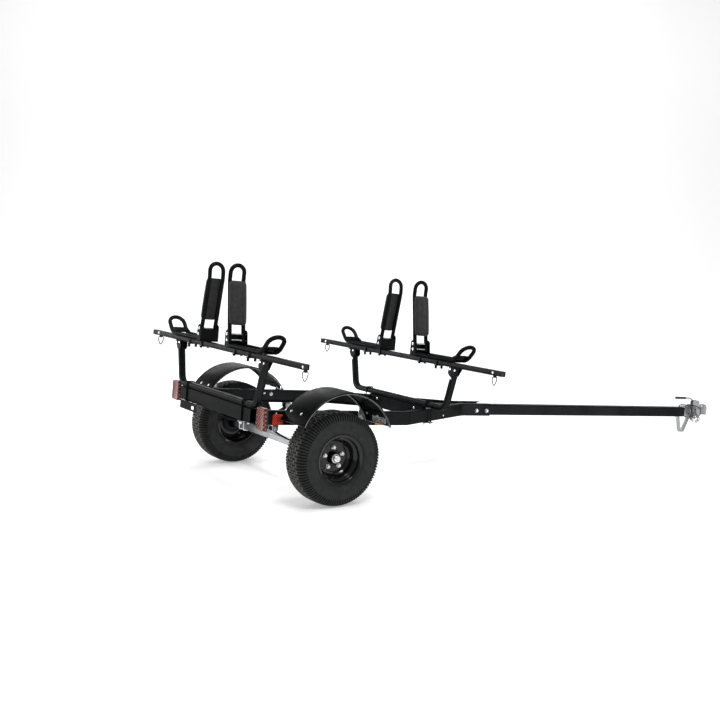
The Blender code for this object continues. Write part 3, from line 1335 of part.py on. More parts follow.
def make_fender(side_name, side, chassis, material):
    """Rolled arc of sheet over the tyre, carried by two braces bolted to the rail."""
    sheet = FENDER_SHEET
    lip = FENDER_LIP
    roll = FENDER_LIP_ROLL
    width = FENDER_OUTER_Y - FENDER_INNER_Y
    shape = [
        (0, roll),
        (roll, 0),
        (width - roll, 0),
        (width, roll),
        (width, lip),
        (width - sheet, lip),
        (width - sheet, roll + sheet),
        (width - roll - sheet, sheet),
        (roll + sheet, sheet),
        (sheet, roll + sheet),
        (sheet, lip),
        (0, lip),
    ]
    steps = 16
    rings = []
    for step in range(steps + 1):
        angle = -FENDER_END_DEG + 2 * FENDER_END_DEG * step / steps
        ring = []
        for across, depth in shape:
            x, z = fender_point(angle, depth)
            ring.append(Vector((x, side * (FENDER_INNER_Y + across), z)))
        rings.append(ring)
    bm = bmesh.new()
    loft(bm, rings)
    middle_y = side * (FENDER_INNER_Y + width / 2)
    origin = (FENDER_CENTRE_X, middle_y, FENDER_CENTRE_Z + FENDER_RADIUS)
    fender = finish("fender_" + side_name, bm, material, origin, chassis, 35.0)
    braces = bmesh.new()
    feet = bmesh.new()
    inner_y = side * (RAIL_HALF_WIDTH + GAP)
    for end in (-1, 1):
        half_deg = math.degrees(BRACE_WIDTH / 2 / FENDER_RADIUS)
        middle = end * BRACE_ANGLE_DEG
        top = FENDER_SHEET - WELD
        bottom = top + BRACE_SHEET
        outline = [
            fender_point(middle - half_deg, top + 0.0003),
            fender_point(middle + half_deg, top + 0.0003),
            fender_point(middle + half_deg, bottom),
            fender_point(middle - half_deg, bottom),
        ]
        add_prism(braces, outline, "Y", inner_y, side * (FENDER_OUTER_Y - 0.020))
        x, z = fender_point(middle, top + BRACE_SHEET / 2)
        foot = [
            (x - BRACE_WIDTH / 2, z - BRACE_FOOT_HEIGHT),
            (x + BRACE_WIDTH / 2, z - BRACE_FOOT_HEIGHT),
            fender_point(middle + half_deg * 0.9, top + BRACE_SHEET / 2),
            fender_point(middle - half_deg * 0.9, top + BRACE_SHEET / 2),
        ]
        add_prism(feet, foot, "Y", inner_y, inner_y + side * BRACE_SHEET)
    join(fender, braces)
    join(fender, feet)


def make_lamp_bracket(side_name, side, chassis, material):
    """Angle plate bolted to the frame's corner, which holds the tail lamp outboard."""
    sheet = LAMP_PLATE_SHEET
    inner = RAIL_HALF_WIDTH + GAP
    outline = [
        (LAMP_PLATE_X, inner),
        (LAMP_PLATE_FRONT_X, inner),
        (LAMP_PLATE_FRONT_X, inner + sheet),
        (LAMP_PLATE_X + sheet, inner + sheet),
        (LAMP_PLATE_X + sheet, LAMP_PLATE_OUTER_Y),
        (LAMP_PLATE_X, LAMP_PLATE_OUTER_Y),
    ]
    outline = [(x, side * y) for x, y in outline]
    bm = bmesh.new()
    add_prism(bm, outline, "Z", LAMP_PLATE_BOTTOM, LAMP_PLATE_TOP)
    name = "tail_lamp_bracket_" + side_name
    finish(name, bm, material, (LAMP_PLATE_X, side * inner, LAMP_PLATE_BOTTOM), chassis)


def make_lens(name, size, centre, facing, chassis, material):
    """Moulded lens with rounded edges. centre is the middle of its back, facing its outward axis."""
    length, height, depth = size
    facing = Vector(facing)
    along = facing.cross(Vector((0, 0, 1)))
    up = Vector((0, 0, 1))
    centre = Vector(centre)
    rings = []
    for share, inset in ((0.0, 0.0), (0.72, 0.0), (0.93, LENS_EDGE * 0.4), (1.0, LENS_EDGE)):
        section = round_rectangle(length - 2 * inset, height - 2 * inset, LENS_CORNER - inset)
        rings.append([centre + facing * depth * share + along * a + up * b for a, b in section])
    bm = bmesh.new()
    loft(bm, rings)
    finish(name, bm, material, centre, chassis, 50.0)


def make_chain(chassis, material):
    """Safety chain laid over the coupler's neck, one end hanging on each side."""
    side_y = COUPLER_SIZE / 2 + CHAIN_LINK_WIDTH / 2 + CHAIN_CLEARANCE
    top_z = COUPLER_TOP + CHAIN_LINK_WIDTH / 2 + GAP
    low_z = COUPLER_BOTTOM - 0.020
    low_x = TONGUE_FRONT_X + 0.118
    top_x = TONGUE_FRONT_X + 0.062
    corners = [
        (low_x, -side_y, low_z),
        (top_x + 0.012, -side_y, TONGUE_CENTRE_Z),
        (top_x, -side_y, top_z),
        (top_x, side_y, top_z),
        (top_x + 0.012, side_y, TONGUE_CENTRE_Z),
        (low_x, side_y, low_z),
    ]
    route = bent_path(corners, CHAIN_BEND_RADIUS, 4)
    pitch = CHAIN_LINK_LENGTH - 2 * CHAIN_WIRE_RADIUS - CHAIN_OVERLAP
    lengths = [0.0]
    for before, after in zip(route, route[1:]):
        lengths.append(lengths[-1] + (after - before).length)

    def route_point(distance):
        distance = min(max(distance, 0.0), lengths[-1] - 1e-6)
        i = max(n for n, length in enumerate(lengths) if length <= distance)
        share = (distance - lengths[i]) / (lengths[i + 1] - lengths[i])
        return route[i].lerp(route[i + 1], share)

    first = (lengths[-1] - pitch * (CHAIN_LINKS - 1)) / 2
    flat, upright = bmesh.new(), bmesh.new()
    for number in range(CHAIN_LINKS):
        middle = first + pitch * number
        centre = route_point(middle)
        tangent = (route_point(middle + pitch / 2) - route_point(middle - pitch / 2)).normalized()
        side = Vector((1, 0, 0)) - tangent * tangent.x
        side.normalize()
        if number % 2:
            side = tangent.cross(side)
        straight = CHAIN_LINK_LENGTH / 2 - CHAIN_LINK_WIDTH / 2
        bend = CHAIN_LINK_WIDTH / 2 - CHAIN_WIRE_RADIUS
        outline = arc_points((straight, 0), bend, -90, 90, 3)
        outline += arc_points((-straight, 0), bend, 90, 270, 3)
        link = [centre + tangent * a + side * b for a, b in outline]
        normal = tangent.cross(side)
        sweep((flat, upright)[number % 2], circle_section(CHAIN_WIRE_RADIUS, 5), link, normal, closed=True)
    origin = (top_x, 0, top_z)
    chain = finish("safety_chain", flat, material, origin, chassis, 70.0)
    join(chain, upright)


def make_materials():
    return {
        "powder_coat": make_material("black_powder_coat", (0.020, 0.021, 0.022), 0.42, 0.2),
        "galvanised": make_material("galvanised_steel", (0.52, 0.54, 0.55), 0.42, 0.9),
        "zinc": make_material("bright_zinc", (0.72, 0.73, 0.74), 0.28, 1.0),
        "tyre": make_material("tyre_rubber", (0.018, 0.018, 0.018), 0.75),
        "rim": make_material("rim_black_enamel", (0.012, 0.012, 0.013), 0.22),
        "spring": make_material("spring_steel", (0.055, 0.055, 0.058), 0.50, 0.6),
        "frame_rubber": make_material("cradle_rubber_coat", (0.022, 0.023, 0.024), 0.62),
        "foam": make_material("cradle_foam", (0.030, 0.030, 0.031), 0.90),
        "red_lens": make_material("red_lens", (0.42, 0.035, 0.03), 0.25),
        "marker_red": make_material("marker_red_lens", (0.85, 0.05, 0.02), 0.20),
        "amber": make_material("amber_lens", (0.85, 0.30, 0.02), 0.20),
    }


def make_running_gear(chassis, wheel_axis, materials):
    make_axle(chassis, materials["galvanised"])
    for side_name, side in SIDES:
        make_tyre(side_name, side, wheel_axis, materials["tyre"])
        make_rim(side_name, side, wheel_axis, materials["rim"])
        make_hub(side_name, side, wheel_axis, materials["zinc"])
        make_dust_cap(side_name, side, wheel_axis, materials["zinc"])
        make_leaf_spring(side_name, side, chassis, materials["spring"])
        make_axle_clamp(side_name, side, chassis, materials["zinc"])
        for end_name, end in (("rear", -1), ("front", 1)):
            make_hanger(end_name, end, side_name, side, chassis, materials["galvanised"])


def front_beam_end(x):
    """Where the front cross beam stops short of a rail's flanges."""
    return rail_outer_y(x) - (RAIL_DEPTH + GAP) / rail_slant() - GAP


def make_frame(chassis, materials):
    coat = materials["powder_coat"]
    for side_name, side in SIDES:
        make_side_rail(side_name, side, chassis, coat)
        make_fender(side_name, side, chassis, coat)
        rear = "support_ubolt_rear_" + side_name
        front = "support_ubolt_front_" + side_name
        make_support_ubolt(rear, REAR_X, side * UBOLT_REAR_Y, BEAM_BOTTOM - GAP, chassis, coat)
        make_support_ubolt(front, FRONT_X, side * UBOLT_FRONT_Y, RAIL_BOTTOM - GAP, chassis, coat)
    make_cross_beam("rear", REAR_X, lambda x: RAIL_HALF_WIDTH, chassis, coat)
    make_cross_beam("front", FRONT_X, front_beam_end, chassis, coat)
    for end_name, x in ENDS:
        make_support_tube(end_name, x, chassis, coat)
        make_load_bar(end_name, x, chassis, coat)
    make_tongue(chassis, coat)
    make_coupler(chassis, materials["zinc"])
    make_latch_lever(chassis, materials["zinc"])
    make_stand(chassis, materials["galvanised"])
    make_chain(chassis, materials["zinc"])


def make_cradles(chassis, materials):
    for end_name, x in ENDS:
        for side_name, side in SIDES:
            make_tie_ring(end_name, x, side_name, side, chassis, materials["powder_coat"])
            make_cradle_base(end_name, x, side_name, side, chassis, materials["frame_rubber"])
            make_cradle_arm(end_name, x, side_name, side, chassis, materials["frame_rubber"])
            make_arm_pad(end_name, x, side_name, side, chassis, materials["foam"])


def make_lamps(chassis, materials):
    for side_name, side in SIDES:
        make_lamp_bracket(side_name, side, chassis, materials["powder_coat"])
        middle_y = side * (LAMP_INNER_Y + LAMP_WIDTH / 2)
        centre = (LAMP_PLATE_X - GAP, middle_y, LAMP_BOTTOM + LAMP_HEIGHT / 2)
        name = "tail_lamp_" + side_name
        size = (LAMP_WIDTH, LAMP_HEIGHT, LAMP_DEPTH)
        make_lens(name, size, centre, (-1, 0, 0), chassis, materials["red_lens"])
        back = side * (RAIL_HALF_WIDTH + GAP)
        centre = (RED_MARKER_X, back, RED_MARKER_CENTRE_Z)
        size = (RED_MARKER_LENGTH, RED_MARKER_HEIGHT, RED_MARKER_DEPTH)
        name = "side_marker_red_" + side_name
        make_lens(name, size, centre, (0, side, 0), chassis, materials["marker_red"])
        centre = (AMBER_MARKER_X, back, AMBER_MARKER_CENTRE_Z)
        size = (AMBER_MARKER_LENGTH, AMBER_MARKER_HEIGHT, AMBER_MARKER_DEPTH)
        name = "side_marker_amber_" + side_name
        make_lens(name, size, centre, (0, side, 0), chassis, materials["amber"])


def world_reach(axis_number):
    """Lowest and highest world coordinate that any visible piece reaches."""
    graph = bpy.context.evaluated_depsgraph_get()
    values = []
    for piece in bpy.context.scene.objects:
        if piece.type == "MESH" and not piece.hide_render:
            evaluated = piece.evaluated_get(graph)
            world = evaluated.matrix_world
            values += [(world @ v.co)[axis_number] for v in evaluated.data.vertices]
    return min(values), max(values)


def main():
    clear_scene()
    materials = make_materials()
    # The level trailer is tipped about the axle, whose place then has to stay where it was
    tip = Matrix.Rotation(NOSE_DOWN, 4, "Y")
    axle = Vector((0, 0, AXLE_Z))
    chassis = make_empty("chassis_stance", axle - tip @ axle, NOSE_DOWN)
    wheel_axis = make_empty("wheel_stance", (0, 0, 0))
    make_running_gear(chassis, wheel_axis, materials)
    make_frame(chassis, materials)
    make_cradles(chassis, materials)
    make_lamps(chassis, materials)
    bpy.context.view_layer.update()
    rear, front = world_reach(0)
    for empty in (chassis, wheel_axis):
        empty.location.x -= (rear + front) / 2
    bpy.context.view_layer.update()


main()
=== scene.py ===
"""Looks of the kayak trailer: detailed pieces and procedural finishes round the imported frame.

Lengths are metres. Shapes are drawn on the level trailer, as in the part's source: +X forward,
+Y to the left, +Z up from the ground below the axle. LEVEL then tips them nose down about the
axle, and UPRIGHT only shifts the wheels to where the frame has them.
"""

import json
import math

import bmesh
import bpy
from mathutils import Matrix, Quaternion, Vector, noise

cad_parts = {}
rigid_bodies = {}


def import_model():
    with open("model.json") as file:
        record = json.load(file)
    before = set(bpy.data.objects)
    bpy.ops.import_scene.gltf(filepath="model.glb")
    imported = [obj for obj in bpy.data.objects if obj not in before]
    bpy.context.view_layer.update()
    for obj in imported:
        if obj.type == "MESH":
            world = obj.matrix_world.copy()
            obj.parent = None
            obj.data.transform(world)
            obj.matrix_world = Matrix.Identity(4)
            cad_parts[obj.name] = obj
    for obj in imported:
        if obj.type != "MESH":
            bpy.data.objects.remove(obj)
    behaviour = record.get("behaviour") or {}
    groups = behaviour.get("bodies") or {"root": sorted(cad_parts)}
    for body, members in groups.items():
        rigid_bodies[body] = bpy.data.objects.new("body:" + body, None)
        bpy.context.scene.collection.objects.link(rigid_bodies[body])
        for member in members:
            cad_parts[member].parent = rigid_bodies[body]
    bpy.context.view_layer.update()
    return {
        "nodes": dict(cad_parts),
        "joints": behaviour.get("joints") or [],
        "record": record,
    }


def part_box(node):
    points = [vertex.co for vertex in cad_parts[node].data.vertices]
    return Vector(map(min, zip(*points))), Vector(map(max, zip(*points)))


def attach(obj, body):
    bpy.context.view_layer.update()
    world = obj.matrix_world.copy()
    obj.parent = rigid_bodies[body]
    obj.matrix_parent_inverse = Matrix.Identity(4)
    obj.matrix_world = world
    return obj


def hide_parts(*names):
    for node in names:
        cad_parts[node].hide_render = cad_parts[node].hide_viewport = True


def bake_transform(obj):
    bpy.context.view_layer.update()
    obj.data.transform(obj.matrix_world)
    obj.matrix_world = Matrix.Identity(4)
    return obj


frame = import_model()

SIDES = (("left", 1), ("right", -1))
REAR_X = -0.426
FRONT_X = 0.846
ENDS = (("rear", REAR_X), ("front", FRONT_X))
FACES = (-1, 1)

AXLE_Z = 0.2605
HUB_Y = 0.629
RAIL_Y = 0.470
RAIL_SHEET = 0.004
GAP = 0.0003
RAIL_FACE = RAIL_Y + GAP
FRAME_BODY = next(j["parent"] for j in frame["joints"] if j["name"] == "latch_lever_lift")


def stance():
    """How far the trailer is tipped, and where its axle is along X."""
    fold = next(j for j in frame["joints"] if j["name"] == "cradle_rear_left_fold")
    tilt = math.atan2(abs(fold["axis"][2]), abs(fold["axis"][0]))
    low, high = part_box("tyre_left")
    return tilt, (low.x + high.x) / 2


TILT, AXLE_X = stance()
UPRIGHT = Matrix.Translation((AXLE_X, 0, 0))
AXLE = Matrix.Translation((0, 0, AXLE_Z))
LEVEL = UPRIGHT @ AXLE @ Matrix.Rotation(TILT, 4, "Y") @ AXLE.inverted()


# Finishes


class Nodes:
    """Adds shader nodes to one material, all reading the piece's own coordinates."""

    def __init__(self, name, colour, roughness, metallic=0.0, **constants):
        self.material = bpy.data.materials.new(name)
        self.material.use_nodes = True
        self.material.diffuse_color = (*colour, 1.0)
        self.tree = self.material.node_tree
        self.shader = self.tree.nodes["Principled BSDF"]
        constants |= {"Base_Color": (*colour, 1.0), "Roughness": roughness, "Metallic": metallic}
        for socket, value in constants.items():
            self.shader.inputs[socket.replace("_", " ")].default_value = value
        self.place = self.tree.nodes.new("ShaderNodeTexCoord").outputs["Object"]
        self.normal = None

    def add(self, kind, links=(), **values):
        """A node with its plain inputs set and its linked ones joined."""
        node = self.tree.nodes.new("ShaderNode" + kind)
        for socket, value in values.items():
            node.inputs[socket.replace("_", " ")].default_value = value
        for socket, output in dict(links).items():
            self.link(output, node.inputs[socket])
        return node

    def link(self, output, socket):
        self.tree.links.new(output, socket)

    def stretched(self, scale):
        return self.add("Mapping", {"Vector": self.place}, Scale=scale).outputs["Vector"]

    def noise(self, scale, detail=3.0, rough=0.55, stretch=None):
        values = {"Scale": scale, "Detail": detail, "Roughness": rough, "Distortion": 0.0}
        node = self.add("TexNoise", **values)
        self.link(self.stretched(stretch) if stretch else self.place, node.inputs["Vector"])
        return node.outputs["Fac"]

    def cells(self, scale, feature, output="Distance"):
        node = self.add("TexVoronoi", {"Vector": self.place})
        node.feature = feature
        node.inputs["Scale"].default_value = scale
        return node.outputs[output]

    def attribute(self, name):
        node = self.add("Attribute")
        node.attribute_name = name
        return node.outputs["Fac"]

    def spread(self, value, low, high, to_low=0.0, to_high=1.0):
        ends = {"From_Min": low, "From_Max": high, "To_Min": to_low, "To_Max": to_high}
        return self.add("MapRange", {"Value": value}, **ends).outputs["Result"]

    def product(self, a, b):
        node = self.add("Math")
        node.operation = "MULTIPLY"
        self.link(a, node.inputs[0])
        self.link(b, node.inputs[1])
        return node.outputs["Value"]

    def mix(self, share, low, high):
        """Colour from low to high, each a colour or the output of another node."""
        node = self.add("Mix")
        node.data_type = "RGBA"
        self.link(share, node.inputs["Factor"])
        for socket, value in (("A", low), ("B", high)):
            place = next(s for s in node.inputs if s.name == socket and s.type == "RGBA")
            if isinstance(value, tuple):
                place.default_value = (*value, 1.0)
            else:
                self.link(value, place)
        return next(s for s in node.outputs if s.type == "RGBA")

    def colour(self, output):
        self.link(output, self.shader.inputs["Base Color"])

    def rough(self, value, low, high, to_low, to_high):
        self.link(self.spread(value, low, high, to_low, to_high), self.shader.inputs["Roughness"])

    def bump(self, height, distance, strength):
        node = self.add("Bump", {"Height": height}, Strength=strength, Distance=distance)
        if self.normal:
            self.link(self.normal, node.inputs["Normal"])
        self.normal = node.outputs["Normal"]
        self.link(self.normal, self.shader.inputs["Normal"])


def mottled(name, base, rough, patches, grain, bumps=(), metallic=0.0, **constants):
    """Two tones in soft patches, uneven gloss and fine bumps.

    patches: scale, detail, low, high, dark colour, light colour. grain: scale, detail and the
    roughness from smooth to dull. Each bump: scale, detail, height, strength and any stretch.
    """
    n = Nodes(name, base, rough, metallic, **constants)
    scale, detail, low, high, dark, light = patches
    n.colour(n.mix(n.spread(n.noise(scale, detail), low, high), dark, light))
    scale, detail, smooth, dull = grain
    n.rough(n.noise(scale, detail), 0.3, 0.7, smooth, dull)
    for scale, detail, height, strength, *stretch in bumps:
        n.bump(n.noise(scale, detail, stretch=stretch[0] if stretch else None), height, strength)
    return n


def coated_steel(name, dark, light, smooth, dull, peel=0.00012):
    """Baked coat on steel: soft orange peel, faint dust and fine scuffs, dull at a low angle."""
    return mottled(
        name,
        light,
        (smooth + dull) / 2,
        (3.2, 4.0, 0.36, 0.66, dark, light),
        (22.0, 5.0, smooth, dull),
        ((520.0, 2.0, peel, 0.35), (60.0, 3.0, peel * 0.6, 0.12, (1.0, 1.0, 6.0))),
        metallic=0.85,
        Specular_Tint=(0.14, 0.14, 0.14, 1.0),
    )


def galvanised_steel():
    """Dip-galvanised steel: spangle, dull patches and short drawn streaks."""
    n = Nodes("galvanised_steel", (0.44, 0.46, 0.47), 0.42, 0.85)
    spangle_scale = 230.0
    spangle = n.cells(spangle_scale, "F1", "Color")
    grey = n.add("RGBToBW", {"Color": spangle}).outputs["Val"]
    tone = n.mix(n.spread(grey, 0.1, 0.9), (0.32, 0.335, 0.34), (0.45, 0.465, 0.47))
    dull = n.spread(n.noise(14.0, 5.0, 0.65), 0.52, 0.70)
    n.colour(n.mix(dull, tone, (0.33, 0.335, 0.33)))
    n.rough(grey, 0.0, 1.0, 0.34, 0.52)
    n.bump(n.cells(spangle_scale, "DISTANCE_TO_EDGE"), 0.0001, 0.2)
    n.bump(n.noise(300.0, 3.0, stretch=(1.0, 0.08, 1.0)), 0.0001, 0.25)
    return n


def zinc_plate(name, dark, light):
    """Bright zinc plate, a little uneven in tone."""
    patches = (70.0, 3.0, 0.35, 0.65, dark, light)
    bumps = ((900.0, 2.0, 0.00006, 0.4),)
    return mottled(name, light, 0.26, patches, (180.0, 4.0, 0.20, 0.38), bumps, metallic=0.95)


def tyre_rubber():
    """Vulcanised rubber: near black, with dust in its grain, worn tread tops and painted shade in
    the tread's cuts.
    """
    n = Nodes("tyre_rubber", (0.020, 0.020, 0.021), 0.72, Specular_IOR_Level=0.12)
    dust = n.spread(n.noise(26.0, 5.0, 0.62), 0.36, 0.80)
    sides = n.mix(dust, (0.020, 0.021, 0.022), (0.036, 0.036, 0.036))
    worn = n.mix(n.attribute("crown"), sides, (0.074, 0.073, 0.069))
    # The groove attribute turns the tread's cuts near black: painted shade in the recesses.
    n.colour(n.mix(n.attribute("groove"), worn, (0.0025, 0.0025, 0.0027)))
    n.rough(n.noise(55.0, 4.0), 0.3, 0.7, 0.58, 0.80)
    n.bump(n.noise(420.0, 4.0), 0.00022, 0.4)
    return n


def gloss_enamel():
    return mottled(
        "rim_black_enamel",
        (0.010, 0.010, 0.011),
        0.12,
        (12.0, 3.0, 0.4, 0.7, (0.004, 0.004, 0.0045), (0.008, 0.008, 0.0085)),
        (40.0, 4.0, 0.10, 0.20),
        ((160.0, 2.0, 0.00008, 0.25),),
        Coat_Weight=0.6,
        Coat_Roughness=0.04,
        Coat_IOR=1.33,
        Specular_IOR_Level=0.20,
    )


def painted_highlight_edge_metal():
    """Rolled edge of the fenders: black-coated metal drawn lighter as a painted highlight, standing
    in for the floor's reflection along the bead. The lever rod uses it as plain grey metal.
    """
    return mottled(
        "fender_rolled_edge_painted_highlight",
        (0.16, 0.165, 0.17),
        0.28,
        (24.0, 4.0, 0.35, 0.65, (0.20, 0.205, 0.21), (0.40, 0.405, 0.41)),
        (90.0, 3.0, 0.20, 0.36),
        ((400.0, 2.0, 0.00006, 0.3),),
        metallic=0.7,
    )


def closed_cell_foam():
    n = mottled(
        "cradle_foam",
        (0.026, 0.026, 0.027),
        0.92,
        (45.0, 4.0, 0.35, 0.7, (0.010, 0.010, 0.011), (0.024, 0.024, 0.025)),
        (90.0, 3.0, 0.84, 0.97),
        Sheen_Weight=0.15,
        Sheen_Roughness=0.5,
    )
    n.bump(n.cells(520.0, "SMOOTH_F1"), 0.0006, 0.5)
    n.bump(n.noise(110.0, 4.0), 0.0008, 0.3)
    return n


def moulded_plastic(name, dark, light, rough):
    patches = (30.0, 3.0, 0.35, 0.7, dark, light)
    grain = (120.0, 3.0, rough - 0.08, rough + 0.08)
    return mottled(name, light, rough, patches, grain, ((1400.0, 2.0, 0.00005, 0.5),))


def lens_plastic(name, deep, bright, prism, depth):
    """Moulded lens: small pyramids on its inside shine through a clear skin."""
    n = Nodes(name, bright, 0.42, Coat_Weight=0.05, Coat_Roughness=0.25, Specular_IOR_Level=0.12)
    waves = []
    for turn in ((1.0, 1.0, 1.0), (1.0, 1.0, -1.0)):
        node = n.add("TexWave", Scale=prism, Distortion=0.0)
        node.wave_profile = "TRI"
        node.bands_direction = "DIAGONAL"
        n.link(n.stretched(turn), node.inputs["Vector"])
        waves.append(node.outputs["Fac"])
    prisms = n.product(*waves)
    n.colour(n.mix(n.spread(prisms, 0.02, 0.60), deep, bright))
    n.rough(n.noise(70.0, 3.0), 0.3, 0.7, 0.36, 0.50)
    n.bump(prisms, depth, 0.6)
    return n


COAT_TONES = (0.0120, 0.0134, 0.0139), (0.0208, 0.0226, 0.0233)
SPRING_TONES = (0.012, 0.012, 0.013), (0.030, 0.029, 0.028)
CRADLE_TONES = (0.0080, 0.0088, 0.0092), (0.0150, 0.0160, 0.0166)
ZINC_TONES = (0.62, 0.64, 0.66), (0.86, 0.85, 0.83)
# Bright zinc darkened for the chain: painted shade among its links
CHAIN_SHADE_TONES = (0.035, 0.036, 0.037), (0.24, 0.24, 0.235)
RED_TONES = (0.022, 0.003, 0.003), (0.440, 0.155, 0.145)
REFLECTOR_TONES = (0.100, 0.014, 0.010), (0.380, 0.060, 0.040)
MARKER_TONES = (0.330, 0.016, 0.009), (0.800, 0.085, 0.038)
AMBER_TONES = (0.400, 0.120, 0.008), (0.850, 0.340, 0.028)
PLASTIC_TONES = (0.007, 0.007, 0.0075), (0.016, 0.016, 0.0165)

# Each finish and the record's material slot that it stands for
FINISH = {
    "coat": (coated_steel("black_powder_coat", *COAT_TONES, 0.26, 0.40), "black_powder_coat"),
    "galvanised": (galvanised_steel(), "galvanised_steel"),
    "zinc": (zinc_plate("bright_zinc", *ZINC_TONES), "bright_zinc"),
    "chain": (zinc_plate("chain_zinc_painted_shade", *CHAIN_SHADE_TONES), "bright_zinc"),
    "tyre": (tyre_rubber(), "tyre_rubber"),
    "enamel": (gloss_enamel(), "rim_black_enamel"),
    "spring": (coated_steel("spring_steel", *SPRING_TONES, 0.42, 0.60), "spring_steel"),
    "cradle": (
        coated_steel("cradle_rubber_coat", *CRADLE_TONES, 0.36, 0.54, peel=0.0002),
        "cradle_rubber_coat",
    ),
    "metal_and_painted_highlight": (painted_highlight_edge_metal(), "black_powder_coat"),
    "foam": (closed_cell_foam(), "cradle_foam"),
    "red": (lens_plastic("red_lens", *RED_TONES, 28.0, 0.0010), "red_lens"),
    "reflector": (
        lens_plastic("marker_reflector", *REFLECTOR_TONES, 60.0, 0.0006),
        "marker_red_lens",
    ),
    "marker": (lens_plastic("marker_red_lens", *MARKER_TONES, 46.0, 0.0006), "marker_red_lens"),
    "amber": (lens_plastic("amber_lens", *AMBER_TONES, 46.0, 0.0006), "amber_lens"),
    "plastic": (moulded_plastic("black_moulding", *PLASTIC_TONES, 0.46), "black_powder_coat"),
}
CAD_FINISH = {slot: nodes.material for nodes, slot in reversed(list(FINISH.values()))}


# Shapes

STUD_TIP = 0.002


def bent_path(points, radius, steps):
    """The points as vectors, with each corner replaced by an arc of the radius."""
    points = [Vector(p) for p in points]
    path = [points[0]]
    for before, corner, after in zip(points, points[1:], points[2:]):
        inward = (before - corner).normalized()
        outward = (after - corner).normalized()
        turn = math.pi - inward.angle(outward)
        start = corner + inward * radius * math.tan(turn / 2)
        axis = (-inward).cross(outward).normalized()
        centre = start + axis.cross(-inward) * radius
        for step in range(steps + 1):
            spoke = start - centre
            spoke.rotate(Quaternion(axis, turn * step / steps))
            path.append(centre + spoke)
    path.append(points[-1])
    return path


def arc_points(centre, radius, start_deg, end_deg, steps):
    angles = [math.radians(start_deg + (end_deg - start_deg) * i / steps) for i in range(steps + 1)]
    return [(centre[0] + radius * math.cos(a), centre[1] + radius * math.sin(a)) for a in angles]


def round_corners(outline, radius, steps, closed=True):
    """The outline (a, b) with its corners rounded. A corner may carry a radius of its own."""
    count = len(outline)
    result = []
    for i, point in enumerate(outline):
        if not closed and i in (0, count - 1):
            result.append(tuple(point[:2]))
            continue
        here = Vector(point[:2])
        before = Vector(outline[i - 1][:2]) - here
        after = Vector(outline[(i + 1) % count][:2]) - here
        size = point[2] if len(point) > 2 else radius
        half = before.angle(after) / 2
        if size <= 0 or half > math.radians(87):
            result.append(tuple(here))
            continue
        reach = min(size / math.tan(half), before.length * 0.49, after.length * 0.49)
        size = reach * math.tan(half)
        middle = (before.normalized() + after.normalized()).normalized()
        centre = here + middle * size / math.sin(half)
        start = here + before.normalized() * reach - centre
        end = here + after.normalized() * reach - centre
        turn = start.angle_signed(end)
        for step in range(steps + 1):
            spoke = start.copy()
            spoke.rotate(Matrix.Rotation(-turn * step / steps, 2))
            result.append(tuple(centre + spoke))
    return result


def round_rectangle(width, height, radius, steps):
    a, b = width / 2, height / 2
    return round_corners([(a, b), (-a, b), (-a, -b), (a, -b)], radius, steps)


def circle_section(radius, steps):
    return arc_points((0, 0), radius, 0, 360 - 360 / steps, steps - 1)


def bridge(bm, ring, other):
    """Faces between two rings of vertices. One of them may be a single vertex."""
    steps = max(len(ring), len(other))
    for i in range(steps):
        j = (i + 1) % steps
        near = (ring[i], ring[j]) if len(ring) > 1 else (ring[0],)
        far = (other[j], other[i]) if len(other) > 1 else (other[0],)
        bm.faces.new(near + far)


def bridge_all(bm, rings, closed):
    for ring, other in zip(rings, rings[1:] + rings[:1] if closed else rings[1:]):
        if len(ring) > 1 or len(other) > 1:
            bridge(bm, ring, other)


def skin(bm, rings, closed=False, capped=True):
    """Faces between rings of points, each ring closed on itself."""
    verts = [[bm.verts.new(p) for p in ring] for ring in rings]
    bridge_all(bm, verts, closed)
    if not closed and capped:
        bm.faces.new(verts[0][::-1])
        bm.faces.new(verts[-1])
    return verts


def tangents_of(path, closed):
    count = len(path)
    result = []
    for i in range(count):
        before = path[i - 1] if i or closed else path[i]
        after = path[(i + 1) % count] if i < count - 1 or closed else path[i]
        result.append((after - before).normalized())
    return result


def section_rings(section, path, normal):
    """Section point (a, b) goes a along the normal and b along normal x tangent."""
    normal = Vector(normal)
    rings = []
    for point, tangent in zip(path, tangents_of(path, False)):
        sideways = normal.cross(tangent).normalized()
        rings.append([point + normal * a + sideways * b for a, b in section])
    return rings


def sweep(bm, section, path, normal, hollow=None):
    path = [Vector(p) for p in path]
    outer = skin(bm, section_rings(section, path, normal), capped=not hollow)
    if hollow:
        inner = skin(bm, section_rings(hollow, path, normal)[::-1], capped=False)[::-1]
        for end in (0, -1):
            bridge(bm, outer[end], inner[end])


def pipe(bm, radius, path, steps, closed=False):
    """A round rod along any path, without twist."""
    path = [Vector(p) for p in path]
    tangents = tangents_of(path, closed)
    side = tangents[0].orthogonal().normalized()
    frames = []
    for i, tangent in enumerate(tangents):
        if i:
            side.rotate(tangents[i - 1].rotation_difference(tangent))
        frames.append((side.copy(), tangent.cross(side)))
    twist = 0.0
    if closed:
        side.rotate(tangents[-1].rotation_difference(tangents[0]))
        first = frames[0][0]
        twist = math.atan2(side.cross(first).dot(tangents[0]), side.dot(first))
    section = circle_section(radius, steps)
    rings = []
    for i, (point, (a, b)) in enumerate(zip(path, frames)):
        turn = twist * i / len(path)
        c, s = math.cos(turn), math.sin(turn)
        rings.append([point + a * (x * c - y * s) + b * (x * s + y * c) for x, y in section])
    skin(bm, rings, closed)


